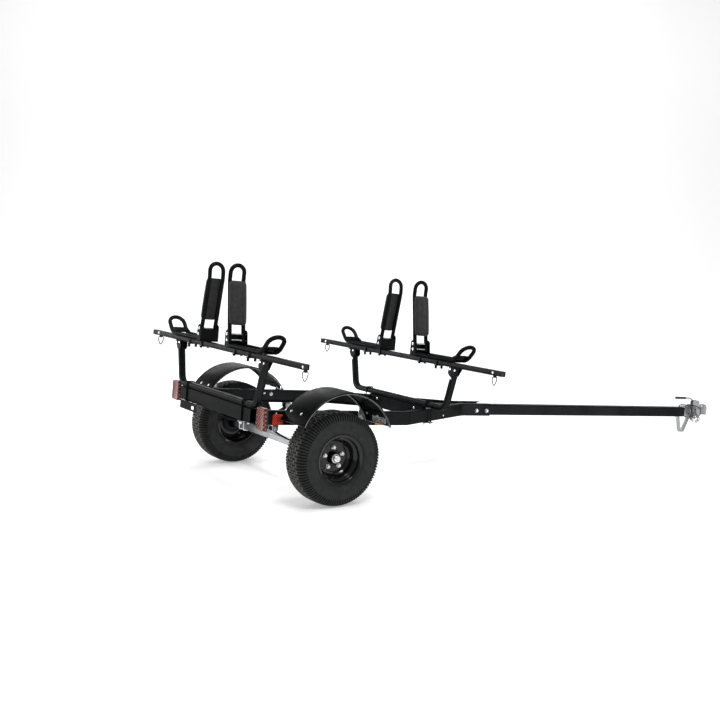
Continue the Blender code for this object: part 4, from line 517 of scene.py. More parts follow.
def lathe(bm, profile, centre, axis, steps, closed=False, turn_deg=0.0):
    """Turns profile points (radius, distance along the axis) about the axis."""
    axis = Vector(axis).normalized()
    centre = Vector(centre)
    across = Vector((0, 0, 1)) if abs(axis.z) < 0.5 else Vector((1, 0, 0))
    across = (across - axis * across.dot(axis)).normalized()
    verts = []
    for radius, along in profile:
        if radius < 1e-7:
            verts.append([bm.verts.new(centre + axis * along)])
            continue
        ring = []
        for step in range(steps):
            spoke = across.copy()
            spoke.rotate(Quaternion(axis, math.radians(turn_deg) + math.tau * step / steps))
            ring.append(bm.verts.new(centre + axis * along + spoke * radius))
        verts.append(ring)
    bridge_all(bm, verts, closed)
    for ring in (verts[0], verts[-1]):
        if not closed and len(ring) > 1:
            bm.faces.new(ring)


def prism(bm, outline, direction, low, high):
    """Extrudes an outline along X, Y or Z. Its points hold the other two coordinates in order."""
    slot = "XYZ".index(direction)

    def place(point, depth):
        coordinates = list(point[:2])
        coordinates.insert(slot, depth)
        return Vector(coordinates)

    skin(bm, [[place(p, low) for p in outline], [place(p, high) for p in outline]])


def block(bm, x_range, y_range, z_range):
    (rear, front), (low, high) = sorted(x_range), sorted(y_range)
    prism(bm, [(rear, low), (front, low), (front, high), (rear, high)], "Z", *sorted(z_range))


def slab(bm, x_range, y_range, z_range, radius, steps=4):
    """A level plate with rounded corners."""
    (rear, front), (low, high) = x_range, y_range
    outline = [(rear, low), (front, low), (front, high), (rear, high)]
    prism(bm, round_corners(outline, radius, steps), "Z", *z_range)


def around(middle, half):
    return middle - half, middle + half


def hex_nut(bm, base, axis, radius, height, stud=0.0, turn_deg=0.0):
    """Chamfered hexagon nut. radius is to its corners; a stud's rounded end may stand out of it."""
    chamfer = radius * 0.12
    profile = [(0, 0), (radius * 0.93, 0), (radius, chamfer * 0.7)]
    profile += [(radius, height - chamfer), (radius * 0.87, height), (0, height)]
    lathe(bm, profile, base, axis, 6, turn_deg=turn_deg)
    if stud:
        top = height + STUD_TIP
        rod = [(0, height * 0.5), (stud, height * 0.5)]
        rod += [(stud, top - stud * 0.3), (stud * 0.75, top), (0, top)]
        lathe(bm, rod, base, axis, 16)


def washer(bm, base, axis, radius, thickness=0.0016):
    edge = thickness * 0.3
    profile = [(0, 0), (radius, 0), (radius, thickness - edge)]
    profile += [(radius - edge, thickness), (0, thickness)]
    lathe(bm, profile, base, axis, 28)


def nut_on_washer(bm, base, axis, washer_size, nut_size, turn_deg=0.0):
    """washer_size is radius and thickness, nut_size radius, height and the stud's radius."""
    washer(bm, base, axis, *washer_size)
    hex_nut(bm, Vector(base) + Vector(axis) * washer_size[1], axis, *nut_size, turn_deg)


def dome_head(bm, base, axis, radius, height):
    """Carriage bolt head."""
    angles = [math.radians(15 * i) for i in range(6)]
    profile = [(0, -0.0004), (radius * 0.97, -0.0004)]
    profile += [(radius * math.cos(a), height * math.sin(a)) for a in angles] + [(0, height)]
    lathe(bm, profile, base, axis, 28)


def new_object(bm, name, material):
    mesh = bpy.data.meshes.new(name)
    bm.to_mesh(mesh)
    bm.free()
    mesh.shade_smooth()
    mesh.materials.append(material)
    made = bpy.data.objects.new(name, mesh)
    bpy.context.scene.collection.objects.link(made)
    return made


def place(
    bm, name, finish, body=None, replaced=(), matrix=None, bevel=0.0, smooth=38.0, subdivide=0,
    bend=None,
):
    """Makes a piece of a shape drawn on the level trailer, and lets it ride on its body.

    bend, when given, leaves the piece fixed where it is, riding on no body; its two points are not
    used.
    """
    bmesh.ops.recalc_face_normals(bm, faces=bm.faces)
    bm.transform(LEVEL if matrix is None else matrix)
    nodes, slot = FINISH[finish]
    piece = new_object(bm, name, nodes.material)
    if not subdivide:
        piece.data.set_sharp_from_angle(angle=math.radians(smooth))
    if bevel:
        add_bevel(piece, bevel)
    if subdivide:
        modifier = piece.modifiers.new("Subdivision", "SUBSURF")
        modifier.levels = subdivide
        modifier.render_levels = subdivide
    if bend:
        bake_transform(piece)
    else:
        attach(piece, body or FRAME_BODY)
    if replaced:
        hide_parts(*replaced)
    return piece


def add_bevel(piece, width):
    modifier = piece.modifiers.new("Edges", "BEVEL")
    modifier.width = width
    modifier.segments = 2
    modifier.limit_method = "ANGLE"
    modifier.angle_limit = math.radians(32)
    modifier.harden_normals = True


# Wheels

PITCHES = 48
GROOVE_DEPTH = 0.0066
SIPE_DEPTH = 0.0052
LUG_DEPTH = 0.0072
# A pitch of the tread starts two cuts, and each has a wall at both sides of its floor
CUT_STARTS = (0.03, 0.53)
CUT_WIDTH = 0.20
PHASES = [half + wall for half in (0.0, 0.5) for wall in (0.0, 0.045, 0.215, 0.260)]
FIRST, SECOND, BOTH = (0,), (1,), (0, 1)
ZIGZAG = 0.0024
SHOULDER_WIDTH = 0.056
SHOULDER_RADIUS = 0.2585
SHOULDER_FADE = 0.030
CROWN_RADIUS = 0.2565
# Depth over which the painted shade in the cuts and the lighter worn crown fade in
TONE_FADE = 0.003

# From the tyre's middle outwards: radius, half width, share of the zigzag, groove and cut depths
# and the cuts that cross the column
TREAD = [
    (0.2603, 0.0085, 1.0, 0.0, SIPE_DEPTH, FIRST),
    (0.2603, 0.0100, 1.0, GROOVE_DEPTH, 0.0, ()),
    (0.2602, 0.0135, 1.0, GROOVE_DEPTH, 0.0, ()),
    (0.2602, 0.0150, 1.0, 0.0, SIPE_DEPTH, SECOND),
    (0.2600, 0.0310, 0.9, 0.0, SIPE_DEPTH, SECOND),
    (0.2600, 0.0325, 0.9, GROOVE_DEPTH, 0.0, ()),
    (0.2598, 0.0360, 0.8, GROOVE_DEPTH, 0.0, ()),
    (0.2597, 0.0375, 0.8, 0.0, SIPE_DEPTH, FIRST),
    (0.2590, 0.0520, 0.5, 0.0, SIPE_DEPTH, FIRST),
    (0.2588, 0.0534, 0.4, GROOVE_DEPTH * 0.7, 0.0, ()),
    (0.2583, 0.0560, 0.3, GROOVE_DEPTH * 0.7, 0.0, ()),
    (0.2578, 0.0575, 0.2, 0.0, LUG_DEPTH, BOTH),
]
# Further out the lugs run down the shoulder and get shallower: radius, half width, share of depth
SHOULDER = [
    (0.2550, 0.0690, 1.0), (0.2518, 0.0765, 1.0), (0.2460, 0.0835, 0.95), (0.2380, 0.0895, 0.85),
    (0.2300, 0.0930, 0.7), (0.2230, 0.0950, 0.5), (0.2180, 0.0957, 0.3),
]
# Side wall with its fitting line, bead, and back along the inside: radius, half width
SIDE_WALL = [
    (0.2155, 0.0957), (0.2100, 0.0960), (0.1985, 0.0969), (0.1925, 0.0972), (0.1915, 0.0979),
    (0.1890, 0.0979), (0.1880, 0.0972), (0.1800, 0.0970), (0.1700, 0.0960), (0.1620, 0.0944),
    (0.1575, 0.0932), (0.1562, 0.0936), (0.1540, 0.0934), (0.1526, 0.0920), (0.1490, 0.0900),
    (0.1462, 0.0872), (0.1446, 0.0840), (0.1440, 0.0830), (0.1290, 0.0828), (0.1272, 0.0810),
    (0.1270, 0.0560), (0.1500, 0.0800), (0.1900, 0.0870), (0.2180, 0.0820), (0.2480, 0.0500),
]


def cut_here(cuts, phase, mirrored):
    """Whether one of the cuts lies at this phase of the pitch. The other half has them swapped."""
    starts = CUT_STARTS[::-1] if mirrored else CUT_STARTS
    return any(starts[cut] < phase < starts[cut] + CUT_WIDTH for cut in cuts)


def make_tyre(side_name, side):
    columns = list(TREAD)
    columns += [(r, w, 0.0, 0.0, LUG_DEPTH * share, BOTH) for r, w, share in SHOULDER]
    columns += [(r, w, 0.0, 0.0, 0.0, ()) for r, w in SIDE_WALL]
    bm = bmesh.new()
    groove_shade_layer = bm.verts.layers.float.new("groove")
    crown_layer = bm.verts.layers.float.new("crown")
    rows, groove_shades, crowns = [], [], []
    for pitch in range(PITCHES):
        for phase in PHASES:
            angle = math.tau * (pitch + phase) / PITCHES
            zigzag = ZIGZAG * (1 - 4 * abs((phase - 0.125) % 1.0 - 0.5))
            row = []
            for half in (1, -1):
                for radius, width, share, groove, cut, cuts in columns[::half]:
                    depth = groove + (cut if cut_here(cuts, phase, half < 0) else 0.0)
                    fall = (SHOULDER_RADIUS - radius) / SHOULDER_FADE
                    slope = min(max(fall, 0.0), 1.0) if width > SHOULDER_WIDTH else 0.0
                    r = radius - depth * (1 - slope * 0.6)
                    y = side * (HUB_Y + half * (width - depth * slope * 0.8) + zigzag * share)
                    row.append(Vector((r * math.sin(angle), y, AXLE_Z + r * math.cos(angle))))
                    # How deep the vertex lies in a cut; the finish turns this into painted shade
                    groove_shades.append(min(depth / TONE_FADE, 1.0))
                    crowns.append(max(min((radius - CROWN_RADIUS) / TONE_FADE, 1.0), 0.0))
            rows.append(row)
    # The columns run down one side, back along the inside and up the other
    skin(bm, rows, closed=True)
    for vert, groove, crown in zip(bm.verts, groove_shades, crowns):
        vert[groove_shade_layer] = groove
        vert[crown_layer] = crown
    place_on_wheel(bm, "tyre_dressed", side_name, "tyre", "tyre", 42)


def wheel_axis(side):
    return Vector((0, side * HUB_Y, AXLE_Z)), Vector((0, side, 0))


def place_on_wheel(bm, name, side_name, finish, replaced=None, smooth=60):
    body = "wheel_" + side_name
    replaced = [replaced + "_" + side_name] if replaced else ()
    place(bm, name + "_" + side_name, finish, body, replaced, UPRIGHT, smooth=smooth)


# Lathed outlines: radius, distance outwards from the wheel's middle, corner radius
SEAT = 0.1228
WELL = 0.1031
RIM_OUTLINE = [
    (0.1426, 0.0862, 0.0016), (0.1392, 0.0868, 0.0016), (SEAT + 0.006, 0.0832, 0.004),
    (SEAT, 0.0790, 0.004), (SEAT - 0.0008, 0.0600, 0.004), (WELL + 0.006, 0.0520, 0.006),
    (WELL, 0.0440, 0.005), (WELL - 0.001, 0.0150, 0.008), (0.0900, 0.0030, 0.006),
    (0.0800, 0.0040, 0.003), (0.0760, 0.0022, 0.003), (0.0450, 0.0022, 0.002),
    (0.0400, 0.0040, 0.002), (0.0338, 0.0040, 0.001), (0.0338, -0.0018, 0.001),
    (0.0900, -0.0018, 0.004), (WELL - 0.001, 0.0100, 0.006), (WELL, -0.0155, 0.006),
    (SEAT, -0.0365, 0.005), (SEAT, -0.0795, 0.004), (0.1400, -0.0862, 0.002),
    (0.1428, -0.0860, 0.0012), (0.1426, -0.0834, 0.001), (0.1262, -0.0832, 0.003),
    (0.1262, -0.0355, 0.004), (0.1064, -0.0150, 0.004), (0.1064, 0.0430, 0.004),
    (0.1262, 0.0570, 0.004), (0.1262, 0.0832, 0.003), (0.1424, 0.0834, 0.001),
]
HUB_OUTLINE = [
    (0.0131, -0.0700, 0.0004), (0.0296, -0.0700, 0.0015), (0.0298, -0.0240, 0.004),
    (0.0400, -0.0125, 0.003), (0.0698, -0.0120, 0.0015), (0.0698, -0.0024, 0.001),
    (0.0318, -0.0024, 0.0005), (0.0318, 0.0270, 0.0012), (0.0305, 0.0298, 0.0008),
    (0.0208, 0.0298, 0.0004), (0.0206, 0.0122, 0.0004), (0.0131, 0.0122, 0.0004),
]
CAP_OUTLINE = [
    (0.0000, 0.0518), (0.0050, 0.0518, 0.0004), (0.0056, 0.0506, 0.0004), (0.0120, 0.0500, 0.001),
    (0.0128, 0.0512, 0.0006), (0.0172, 0.0510, 0.002), (0.0208, 0.0470, 0.003),
    (0.0212, 0.0345, 0.001), (0.0252, 0.0342, 0.0008), (0.0254, 0.0306, 0.0006),
    (0.0198, 0.0304, 0.0003), (0.0194, 0.0450, 0.002), (0.0000, 0.0480),
]
# Round parts as radius and distance along their axis
VALVE_BASE = [
    (0, -0.002), (0.0075, -0.002), (0.0075, 0.002), (0.0052, 0.005), (0.0045, 0.018), (0, 0.018)
]
VALVE_CAP = [
    (0, 0.0175), (0.0036, 0.0175), (0.0038, 0.019), (0.0038, 0.0255), (0.003, 0.027), (0, 0.027)
]
LUG_SEAT = [(0.006, 0), (0.0112, 0), (0.0118, 0.0012), (0.0118, 0.0030), (0.006, 0.0030)]
LUG_NUT = [
    (0.0062, 0.0030), (0.0104, 0.0030), (0.0106, 0.0036), (0.0106, 0.0136), (0.0094, 0.0150),
    (0.0064, 0.0150),
]
LUG_STUD = [(0, -0.010), (0.0060, -0.010), (0.0060, 0.0118), (0.0048, 0.0128), (0, 0.0128)]
STUDS = 5
STUD_CIRCLE = 0.05715
DISC_FACE = 0.0022
VALVE_TURN = math.radians(205)
VALVE_RADIUS = 0.1085
VALVE_OUT = 0.050


def make_rim(side_name, side):
    bm = bmesh.new()
    centre, axis = wheel_axis(side)
    lathe(bm, round_corners(RIM_OUTLINE, 0.0, 4), centre, axis, 112, closed=True)
    place_on_wheel(bm, "rim_dressed", side_name, "enamel", "rim")
    stem = bmesh.new()
    away = Vector((math.sin(VALVE_TURN), 0, math.cos(VALVE_TURN)))
    foot = centre + axis * VALVE_OUT + away * VALVE_RADIUS
    lean = (axis - away * 0.35).normalized()
    lathe(stem, VALVE_BASE, foot, lean, 20)
    lathe(stem, VALVE_CAP, foot, lean, 12)
    place_on_wheel(stem, "valve_stem", side_name, "plastic", smooth=45)


def make_hub(side_name, side):
    centre, axis = wheel_axis(side)
    bm = bmesh.new()
    lathe(bm, round_corners(HUB_OUTLINE, 0.0, 3), centre, axis, 64, closed=True)
    place_on_wheel(bm, "hub_casting", side_name, "coat", smooth=32)
    bm = bmesh.new()
    for number in range(STUDS):
        angle = math.tau * number / STUDS
        spoke = Vector((math.sin(angle), 0, math.cos(angle))) * STUD_CIRCLE
        base = centre + spoke + axis * DISC_FACE
        lathe(bm, LUG_SEAT, base, axis, 28, closed=True)
        lathe(bm, LUG_NUT, base, axis, 6, closed=True, turn_deg=30 + 47 * number)
        lathe(bm, LUG_STUD, base, axis, 16)
    place_on_wheel(bm, "lug_nuts", side_name, "zinc", "hub", 32)
    cap = bmesh.new()
    lathe(cap, round_corners(CAP_OUTLINE, 0.0, 4, closed=False), centre, axis, 64)
    place_on_wheel(cap, "dust_cap_dressed", side_name, "zinc", "dust_cap", 50)


# Fenders

FENDER_RADIUS = 0.306
FENDER_CENTRE = (0.018, 0.326)
FENDER_INNER_Y = 0.478
FENDER_OUTER_Y = 0.735
FENDER_WIDTH = FENDER_OUTER_Y - FENDER_INNER_Y
FENDER_SHEET = 0.0022
FENDER_LIP = 0.0120
FENDER_END = 67.0
FENDER_STEPS = 72
BEAD_RADIUS = 0.0042
BEAD_INSET = 0.0040
HEM_RADIUS = 0.0026
BRACE_ANGLE = 53.0
BRACE_HALF_DEG = math.degrees(0.020 / FENDER_RADIUS)
BRACE_SHEET = 0.004
BRACE_DEPTH = FENDER_SHEET + 0.0004
BOLT_YS = (0.536, 0.644)


def fender_point(angle_deg, depth=0.0):
    angle = math.radians(angle_deg)
    radius = FENDER_RADIUS - depth
    return FENDER_CENTRE[0] + radius * math.sin(angle), FENDER_CENTRE[1] + radius * math.cos(angle)


def fender_angles():
    return [-FENDER_END + 2 * FENDER_END * step / FENDER_STEPS for step in range(FENDER_STEPS + 1)]


def across_fender(side, across, angle_deg, depth):
    x, z = fender_point(angle_deg, depth)
    return Vector((x, side * (FENDER_INNER_Y + across), z))


def make_fender_sheet(side_name, side):
    width, sheet, lip = FENDER_WIDTH, FENDER_SHEET, FENDER_LIP
    outline = [(0, lip, 0.0010), (0, 0, 0.0050), (width / 2, 0, 0), (width, 0, 0.0050)]
    outline += [(width, lip, 0.0010), (width - sheet, lip, 0.0008), (width - sheet, sheet, 0.0030)]
    outline += [(width / 2, sheet, 0), (sheet, sheet, 0.0030), (sheet, lip, 0.0008)]
    section = round_corners(outline, 0.0, 4)
    bm = bmesh.new()
    rings = [[across_fender(side, a, angle, b) for a, b in section] for angle in fender_angles()]
    skin(bm, rings)
    place(bm, "fender_dressed_" + side_name, "coat", None, ["fender_" + side_name], smooth=40)
    edge = bmesh.new()
    for across in (BEAD_INSET, width - BEAD_INSET):
        depth = lip - 0.0036
        bead = [across_fender(side, across, angle, depth) for angle in fender_angles()]
        pipe(edge, BEAD_RADIUS, bead, 12)
    for end in FACES:
        run = [BEAD_INSET + (width - 2 * BEAD_INSET) * step / 12 for step in range(13)]
        hem = [across_fender(side, across, end * (FENDER_END - 0.4), 0.0030) for across in run]
        pipe(edge, HEM_RADIUS, hem, 10)
    # Beads and hems get the lighter metal: a painted highlight on the black rolled edge
    place(edge, "fender_rolled_edge_painted_highlight_" + side_name, "metal_and_painted_highlight", smooth=60)


def make_fender_braces(side_name, side):
    """Coated straps below the sheet, plated feet at the rail and flanges between the wheels."""
    braces = bmesh.new()
    straps = bmesh.new()
    top = BRACE_DEPTH
    for end in FACES:
        middle = end * BRACE_ANGLE
        half = BRACE_HALF_DEG
        strap = [fender_point(middle - half, top), fender_point(middle + half, top)]
        strap += [fender_point(middle + turn, top + BRACE_SHEET) for turn in (half, -half)]
        low, high = side * (RAIL_FACE + 0.0038), side * (FENDER_OUTER_Y - 0.006)
        prism(straps, round_corners(strap, 0.0008, 2), "Y", low, high)
        x, z = fender_point(middle, top + 0.002)
        foot = [(x - 0.018, z - 0.060, 0.006), (x + 0.030, z - 0.060, 0.006)]
        foot += [fender_point(middle + half * share, top + 0.003) for share in (0.92, -0.92)]
        foot = round_corners(foot, 0.003, 3)
        prism(braces, foot, "Y", side * RAIL_FACE, side * (RAIL_FACE + BRACE_SHEET))
        x, z = fender_point(middle + end * half * 0.9, top + 0.001)
        near, far, low = side * 0.580, side * 0.716, z - 0.034
        flange = [(near, z), (far, z), (far, low, 0.006), (near, low, 0.006)]
        prism(braces, round_corners(flange, 0.0, 4), "X", x - 0.0015, x + 0.0015)
    place(straps, "fender_straps_" + side_name, "coat", bevel=0.0006, smooth=40)
    place(braces, "fender_braces_" + side_name, "zinc", bevel=0.0006, smooth=40)


def make_fender_bolts(side_name, side):
    bolts = bmesh.new()
    outward = Vector((0, side, 0))
    for end in FACES:
        for y in BOLT_YS:
            x, z = fender_point(end * (BRACE_ANGLE + 2.0))
            spot = Vector((x, side * y, z))
            out = Vector((x - FENDER_CENTRE[0], 0, z - FENDER_CENTRE[1])).normalized()
            dome_head(bolts, spot, out, 0.0078, 0.0032)
            hex_nut(bolts, spot - out * (FENDER_SHEET + 0.0048), -out, 0.0078, 0.0058, 0.0034)
        x, z = fender_point(end * BRACE_ANGLE)
        spot = Vector((x, side * (RAIL_FACE + 0.0038), z - 0.034))
        washer(bolts, spot, outward, 0.0100)
        hex_nut(bolts, spot + outward * 0.0014, outward, 0.0082, 0.0062, 0.0038)
    place(bolts, "fender_bolts_" + side_name, "zinc", smooth=34)


# Cradles

BAR_WIDTH = 0.034
BAR_HEIGHT = 0.030
BAR_CENTRE_Z = 0.7875
BAR_LENGTH = 1.981
BAR_TOP = BAR_CENTRE_Z + BAR_HEIGHT / 2
BAR_BOTTOM = BAR_CENTRE_Z - BAR_HEIGHT / 2
TUBE_RADIUS = 0.012
LOOP_STEPS = 14
HOOK_SPACING = 0.096
ARM_SPACING = 0.084
PLATE_SHEET = 0.0035
PLATE_TOP = BAR_TOP + GAP + PLATE_SHEET
PLATE_ENDS = (0.160, 0.537)
PLATE_OVERLAP = 0.001
RUN_Y = 0.222
RUN_Z = PLATE_TOP + TUBE_RADIUS - 0.001
HOOK_Y = 0.558
HOOK_RADIUS = 0.090
HOOK_CENTRE_Z = RUN_Z + HOOK_RADIUS
HOOK_DEG = 47.0
HOOK_TIP = 0.036
PIVOT_Y = 0.193
PIVOT_Z = BAR_TOP + 0.0425
LOCK_RISE = 0.035
CHEEK_X = ARM_SPACING / 2 + TUBE_RADIUS + 0.001
CHEEK_SHEET = 0.0035
CHEEK_RADIUS = 0.022
BRACKET_BACK = PIVOT_Y - 0.0275
ARM_LENGTH = 0.430
ARM_LEAN = math.radians(10.0)

SADDLE_STEPS = 34
SADDLE_START_DEG = 8.0
SADDLE_SWEEP_DEG = 32.0
SADDLE_FOOT = 0.0045
SADDLE_RISE = 0.0078
SADDLE_RIBS = 7
RIB_HEIGHT = 0.0011

# Place along the cradle and length of the knob's tail
CLAMPS = ((0.222, 0.0068), (0.395, 0.0178))
CLAMP_SHEET = 0.005
CLAMP_BOLT_X = BAR_WIDTH / 2 + 0.005

PAD_ROWS, PAD_COLUMNS = 44, 28
PAD_START, PAD_LENGTH = 0.083, 0.250
PAD_HALF = 0.054
PAD_THICKNESS = 0.022
PAD_EDGE = 0.0045
CHANNELS = (-0.36, 0.36)
CHANNEL_HALF = 0.0028
CHANNEL_DEPTH = 0.0030


def cradle_loop(points, spacing):
    """A planar centre line (y, z), run up one tube, round an end bend and back down the other."""
    half = spacing / 2
    (last_y, last_z), (prior_y, prior_z) = points[-1], points[-2]
    along = Vector((0, last_y - prior_y, last_z - prior_z)).normalized()
    path = [Vector((-half, y, z)) for y, z in points]
    for step in range(1, LOOP_STEPS):
        angle = math.pi * step / LOOP_STEPS
        end = Vector((0, last_y, last_z)) + along * half * math.sin(angle)
        path.append(end + Vector((-half * math.cos(angle), 0, 0)))
    path += [Vector((half, y, z)) for y, z in reversed(points)]
    return path


def hook_line():
    line = [(RUN_Y, RUN_Z), (0.330, RUN_Z), (0.450, RUN_Z)]
    line += arc_points((HOOK_Y, HOOK_CENTRE_Z), HOOK_RADIUS, -90, -90 + HOOK_DEG, 12)
    y, z = line[-1]
    rise = math.radians(HOOK_DEG)
    for share in (0.35, 0.7, 1.0):
        reach = HOOK_TIP * share
        line.append((y + reach * math.cos(rise), z + reach * math.sin(rise)))
    return line


def arm_point(side, along, across=0.0):
    y = PIVOT_Y - along * math.sin(ARM_LEAN) + across * math.cos(ARM_LEAN)
    z = PIVOT_Z + along * math.cos(ARM_LEAN) + across * math.sin(ARM_LEAN)
    return side * y, z


def make_hook(name, x, side):
    bm = bmesh.new()
    path = [Vector((x + p.x, side * p.y, p.z)) for p in cradle_loop(hook_line(), HOOK_SPACING)]
    pipe(bm, TUBE_RADIUS, path, 18)
    place(bm, "cradle_hook_" + name, "cradle", None, ["cradle_base_" + name], smooth=60)


def make_saddle(name, x, side):
    """Rubber saddle in the hook's bend, crowned, with shallow ribs across it."""
    half = HOOK_SPACING / 2 + TUBE_RADIUS - 0.0035
    bm = bmesh.new()
    rings = []
    for step in range(SADDLE_STEPS + 1):
        share = step / SADDLE_STEPS
        edge = min(share, 1 - share)
        turn = math.radians(SADDLE_START_DEG + SADDLE_SWEEP_DEG * share)
        rib = RIB_HEIGHT * math.cos(share * math.tau * SADDLE_RIBS) * min(1.0, 8 * edge)
        ends = (1 - min(1.0, 9 * edge)) ** 2
        top = TUBE_RADIUS + SADDLE_RISE + rib - 0.0035 * ends
        shoulder = top - SADDLE_FOOT
        section = [(-half, SADDLE_FOOT, 0.002), (half, SADDLE_FOOT, 0.002)]
        section += [(half, shoulder, 0.004), (half * 0.55, top, 0.012)]
        section += [(-half * 0.55, top, 0.012), (-half, shoulder, 0.004)]
        ring = []
        for across, depth in round_corners(section, 0.0, 4):
            radius = HOOK_RADIUS - depth
            y = HOOK_Y + radius * math.sin(turn)
            ring.append(Vector((x + across, side * y, HOOK_CENTRE_Z - radius * math.cos(turn))))
        rings.append(ring)
    skin(bm, rings)
    place(bm, "cradle_saddle_" + name, "cradle", smooth=50)


def make_bracket(name, x, side):
    """Plate on the bar with the fold hinge's two cheeks and the web between them."""
    plate = bmesh.new()
    ends = [side * y for y in PLATE_ENDS]
    slab(plate, around(x, HOOK_SPACING / 2 + TUBE_RADIUS), ends, (BAR_TOP + GAP, PLATE_TOP), 0.010)
    foot_z = PLATE_TOP - PLATE_OVERLAP
    top_z = PIVOT_Z + LOCK_RISE
    cheek = arc_points((BRACKET_BACK + CHEEK_RADIUS, top_z), CHEEK_RADIUS, 0, 180, 18)
    cheek += [(BRACKET_BACK, foot_z), (PIVOT_Y + 0.030, foot_z)]
    for face in FACES:
        start = x + face * CHEEK_X
        prism(plate, [(side * y, z) for y, z in cheek], "X", start, start + face * CHEEK_SHEET)
    reach = CHEEK_X + CHEEK_SHEET - 0.0008
    half = [(reach, foot_z, 0), (reach, top_z + 0.004, 0.008), (0.020, top_z - 0.004, 0.014)]
    web = [(x - reach, foot_z, 0)] + [(x + a, z, r) for a, z, r in half]
    web += [(x - a, z, r) for a, z, r in half[:0:-1]]
    back = (side * BRACKET_BACK, side * (BRACKET_BACK + CHEEK_SHEET))
    prism(plate, round_corners(web, 0.0, 5), "Y", *back)
    place(plate, "cradle_bracket_" + name, "cradle", bevel=0.0008, smooth=40)


def make_clamps(name, x, side):
    """Plates below the bar, each with two carriage bolts that have a moulded knob below."""
    clamps = bmesh.new()
    bolts = bmesh.new()
    top = BAR_BOTTOM - GAP
    for clamp_y, tail in CLAMPS:
        y_range = [side * y for y in around(clamp_y, 0.012)]
        slab(clamps, around(x, CLAMP_BOLT_X + 0.008), y_range, (top - CLAMP_SHEET, top), 0.003, 3)
        knob = [(0, 0), (0.0062, 0), (0.0074, 0.001)]
        knob += [(0.0076, tail - 0.0022), (0.0066, tail), (0, tail)]
        for face in FACES:
            head = Vector((x + face * CLAMP_BOLT_X, side * clamp_y, PLATE_TOP))
            under = Vector((head.x, head.y, top - CLAMP_SHEET))
            dome_head(bolts, head, (0, 0, 1), 0.0078, 0.0030)
            pipe(bolts, 0.0039, [head, under - Vector((0, 0, tail - 0.003))], 14)
            lathe(clamps, knob, under, (0, 0, -1), 14)
    place(clamps, "cradle_clamps_" + name, "cradle", bevel=0.0006, smooth=40)
    place(bolts, "cradle_bolts_" + name, "plastic", smooth=40)


def make_lock_bolt(name, x, side):
    lock = bmesh.new()
    y, z = arm_point(side, LOCK_RISE)
    for face in FACES:
        spot = Vector((x + face * (CHEEK_X + CHEEK_SHEET), y, z))
        out = Vector((face, 0, 0))
        washer(lock, spot, out, 0.0082, 0.0012)
        if face < 0:
            dome_head(lock, spot + out * 0.0012, out, 0.0066, 0.0034)
        else:
            hex_nut(lock, spot + out * 0.0012, out, 0.0080, 0.0054)
    place(lock, "cradle_lock_bolt_" + name, "zinc", smooth=34)


def make_arm(name, x, side):
    line = [arm_point(side, -0.013)]
    line += [arm_point(side, ARM_LENGTH * 0.78 * share) for share in (0.2, 0.5, 0.8)]
    # The tube leans outwards above the pad
    for share, lean in ((0.74, 0.0), (0.79, 0.08), (0.83, 0.42), (0.88, 1.0)):
        line.append(arm_point(side, ARM_LENGTH * share, 0.010 * lean))
    bm = bmesh.new()
    path = [Vector((x + p.x, p.y, p.z)) for p in cradle_loop(line, ARM_SPACING)]
    pipe(bm, TUBE_RADIUS, path, 18)
    replaced = ["cradle_arm_" + name]
    place(bm, "cradle_arm_dressed_" + name, "cradle", "arm_" + name, replaced, smooth=60)


def make_arm_bolts(name, x, side):
    bolts = bmesh.new()
    inner = CHEEK_X - 0.0006
    outer = CHEEK_X + CHEEK_SHEET
    for rise, half in ((LOCK_RISE, inner), (0.0, outer + 0.003)):
        y, z = arm_point(side, rise)
        pipe(bolts, 0.0048, [(x - half, y, z), (x + half, y, z)], 18)
    hex_nut(bolts, (x + outer + 0.0004, y, z), (1, 0, 0), 0.0084, 0.0056)
    washer(bolts, (x - outer - 0.0004, y, z), (-1, 0, 0), 0.0082, 0.0012)
    dome_head(bolts, Vector((x - outer - 0.0016, y, z)), (-1, 0, 0), 0.0066, 0.0034)
    place(bolts, "cradle_arm_bolts_" + name, "zinc", "arm_" + name, smooth=34)


def pad_point(u, v, x, side):
    """Where the pad's crowned face is, and where its flat back is below that."""
    edge = min(u, 1 - u) * 2
    corner = (1 - min(edge * 6, 1.0)) ** 2
    reach = PAD_HALF * (0.965 + 0.035 * math.sin(math.pi * u)) - 0.009 * corner
    across = v * reach
    shift = 0.006 * (1 - min(edge * 7, 1.0)) ** 2 * abs(v) ** 6
    along = PAD_START + PAD_LENGTH * u + (shift if u < 0.5 else -shift)
    dome = (1 - abs(v) ** 5.0) ** 0.55 * (1 - (1 - min(edge * 4.5, 1.0)) ** 2.6) ** 0.55
    channel = sum(math.exp(-(((v - g) * reach) / CHANNEL_HALF) ** 2) for g in CHANNELS)
    wave = noise.noise(Vector((across * 26, along * 22, x + side))) * 0.0008
    rise = PAD_EDGE + (PAD_THICKNESS - PAD_EDGE - 0.001) * dome
    rise += wave * dome - CHANNEL_DEPTH * channel * min(edge * 3.2, 1.0)
    back = TUBE_RADIUS + 0.0006
    y, z = arm_point(side, along, back + min(rise, PAD_THICKNESS * 0.995))
    back_y, back_z = arm_point(side, along, back)
    return (x + across, y, z), (x + across * 0.985, back_y, back_z)


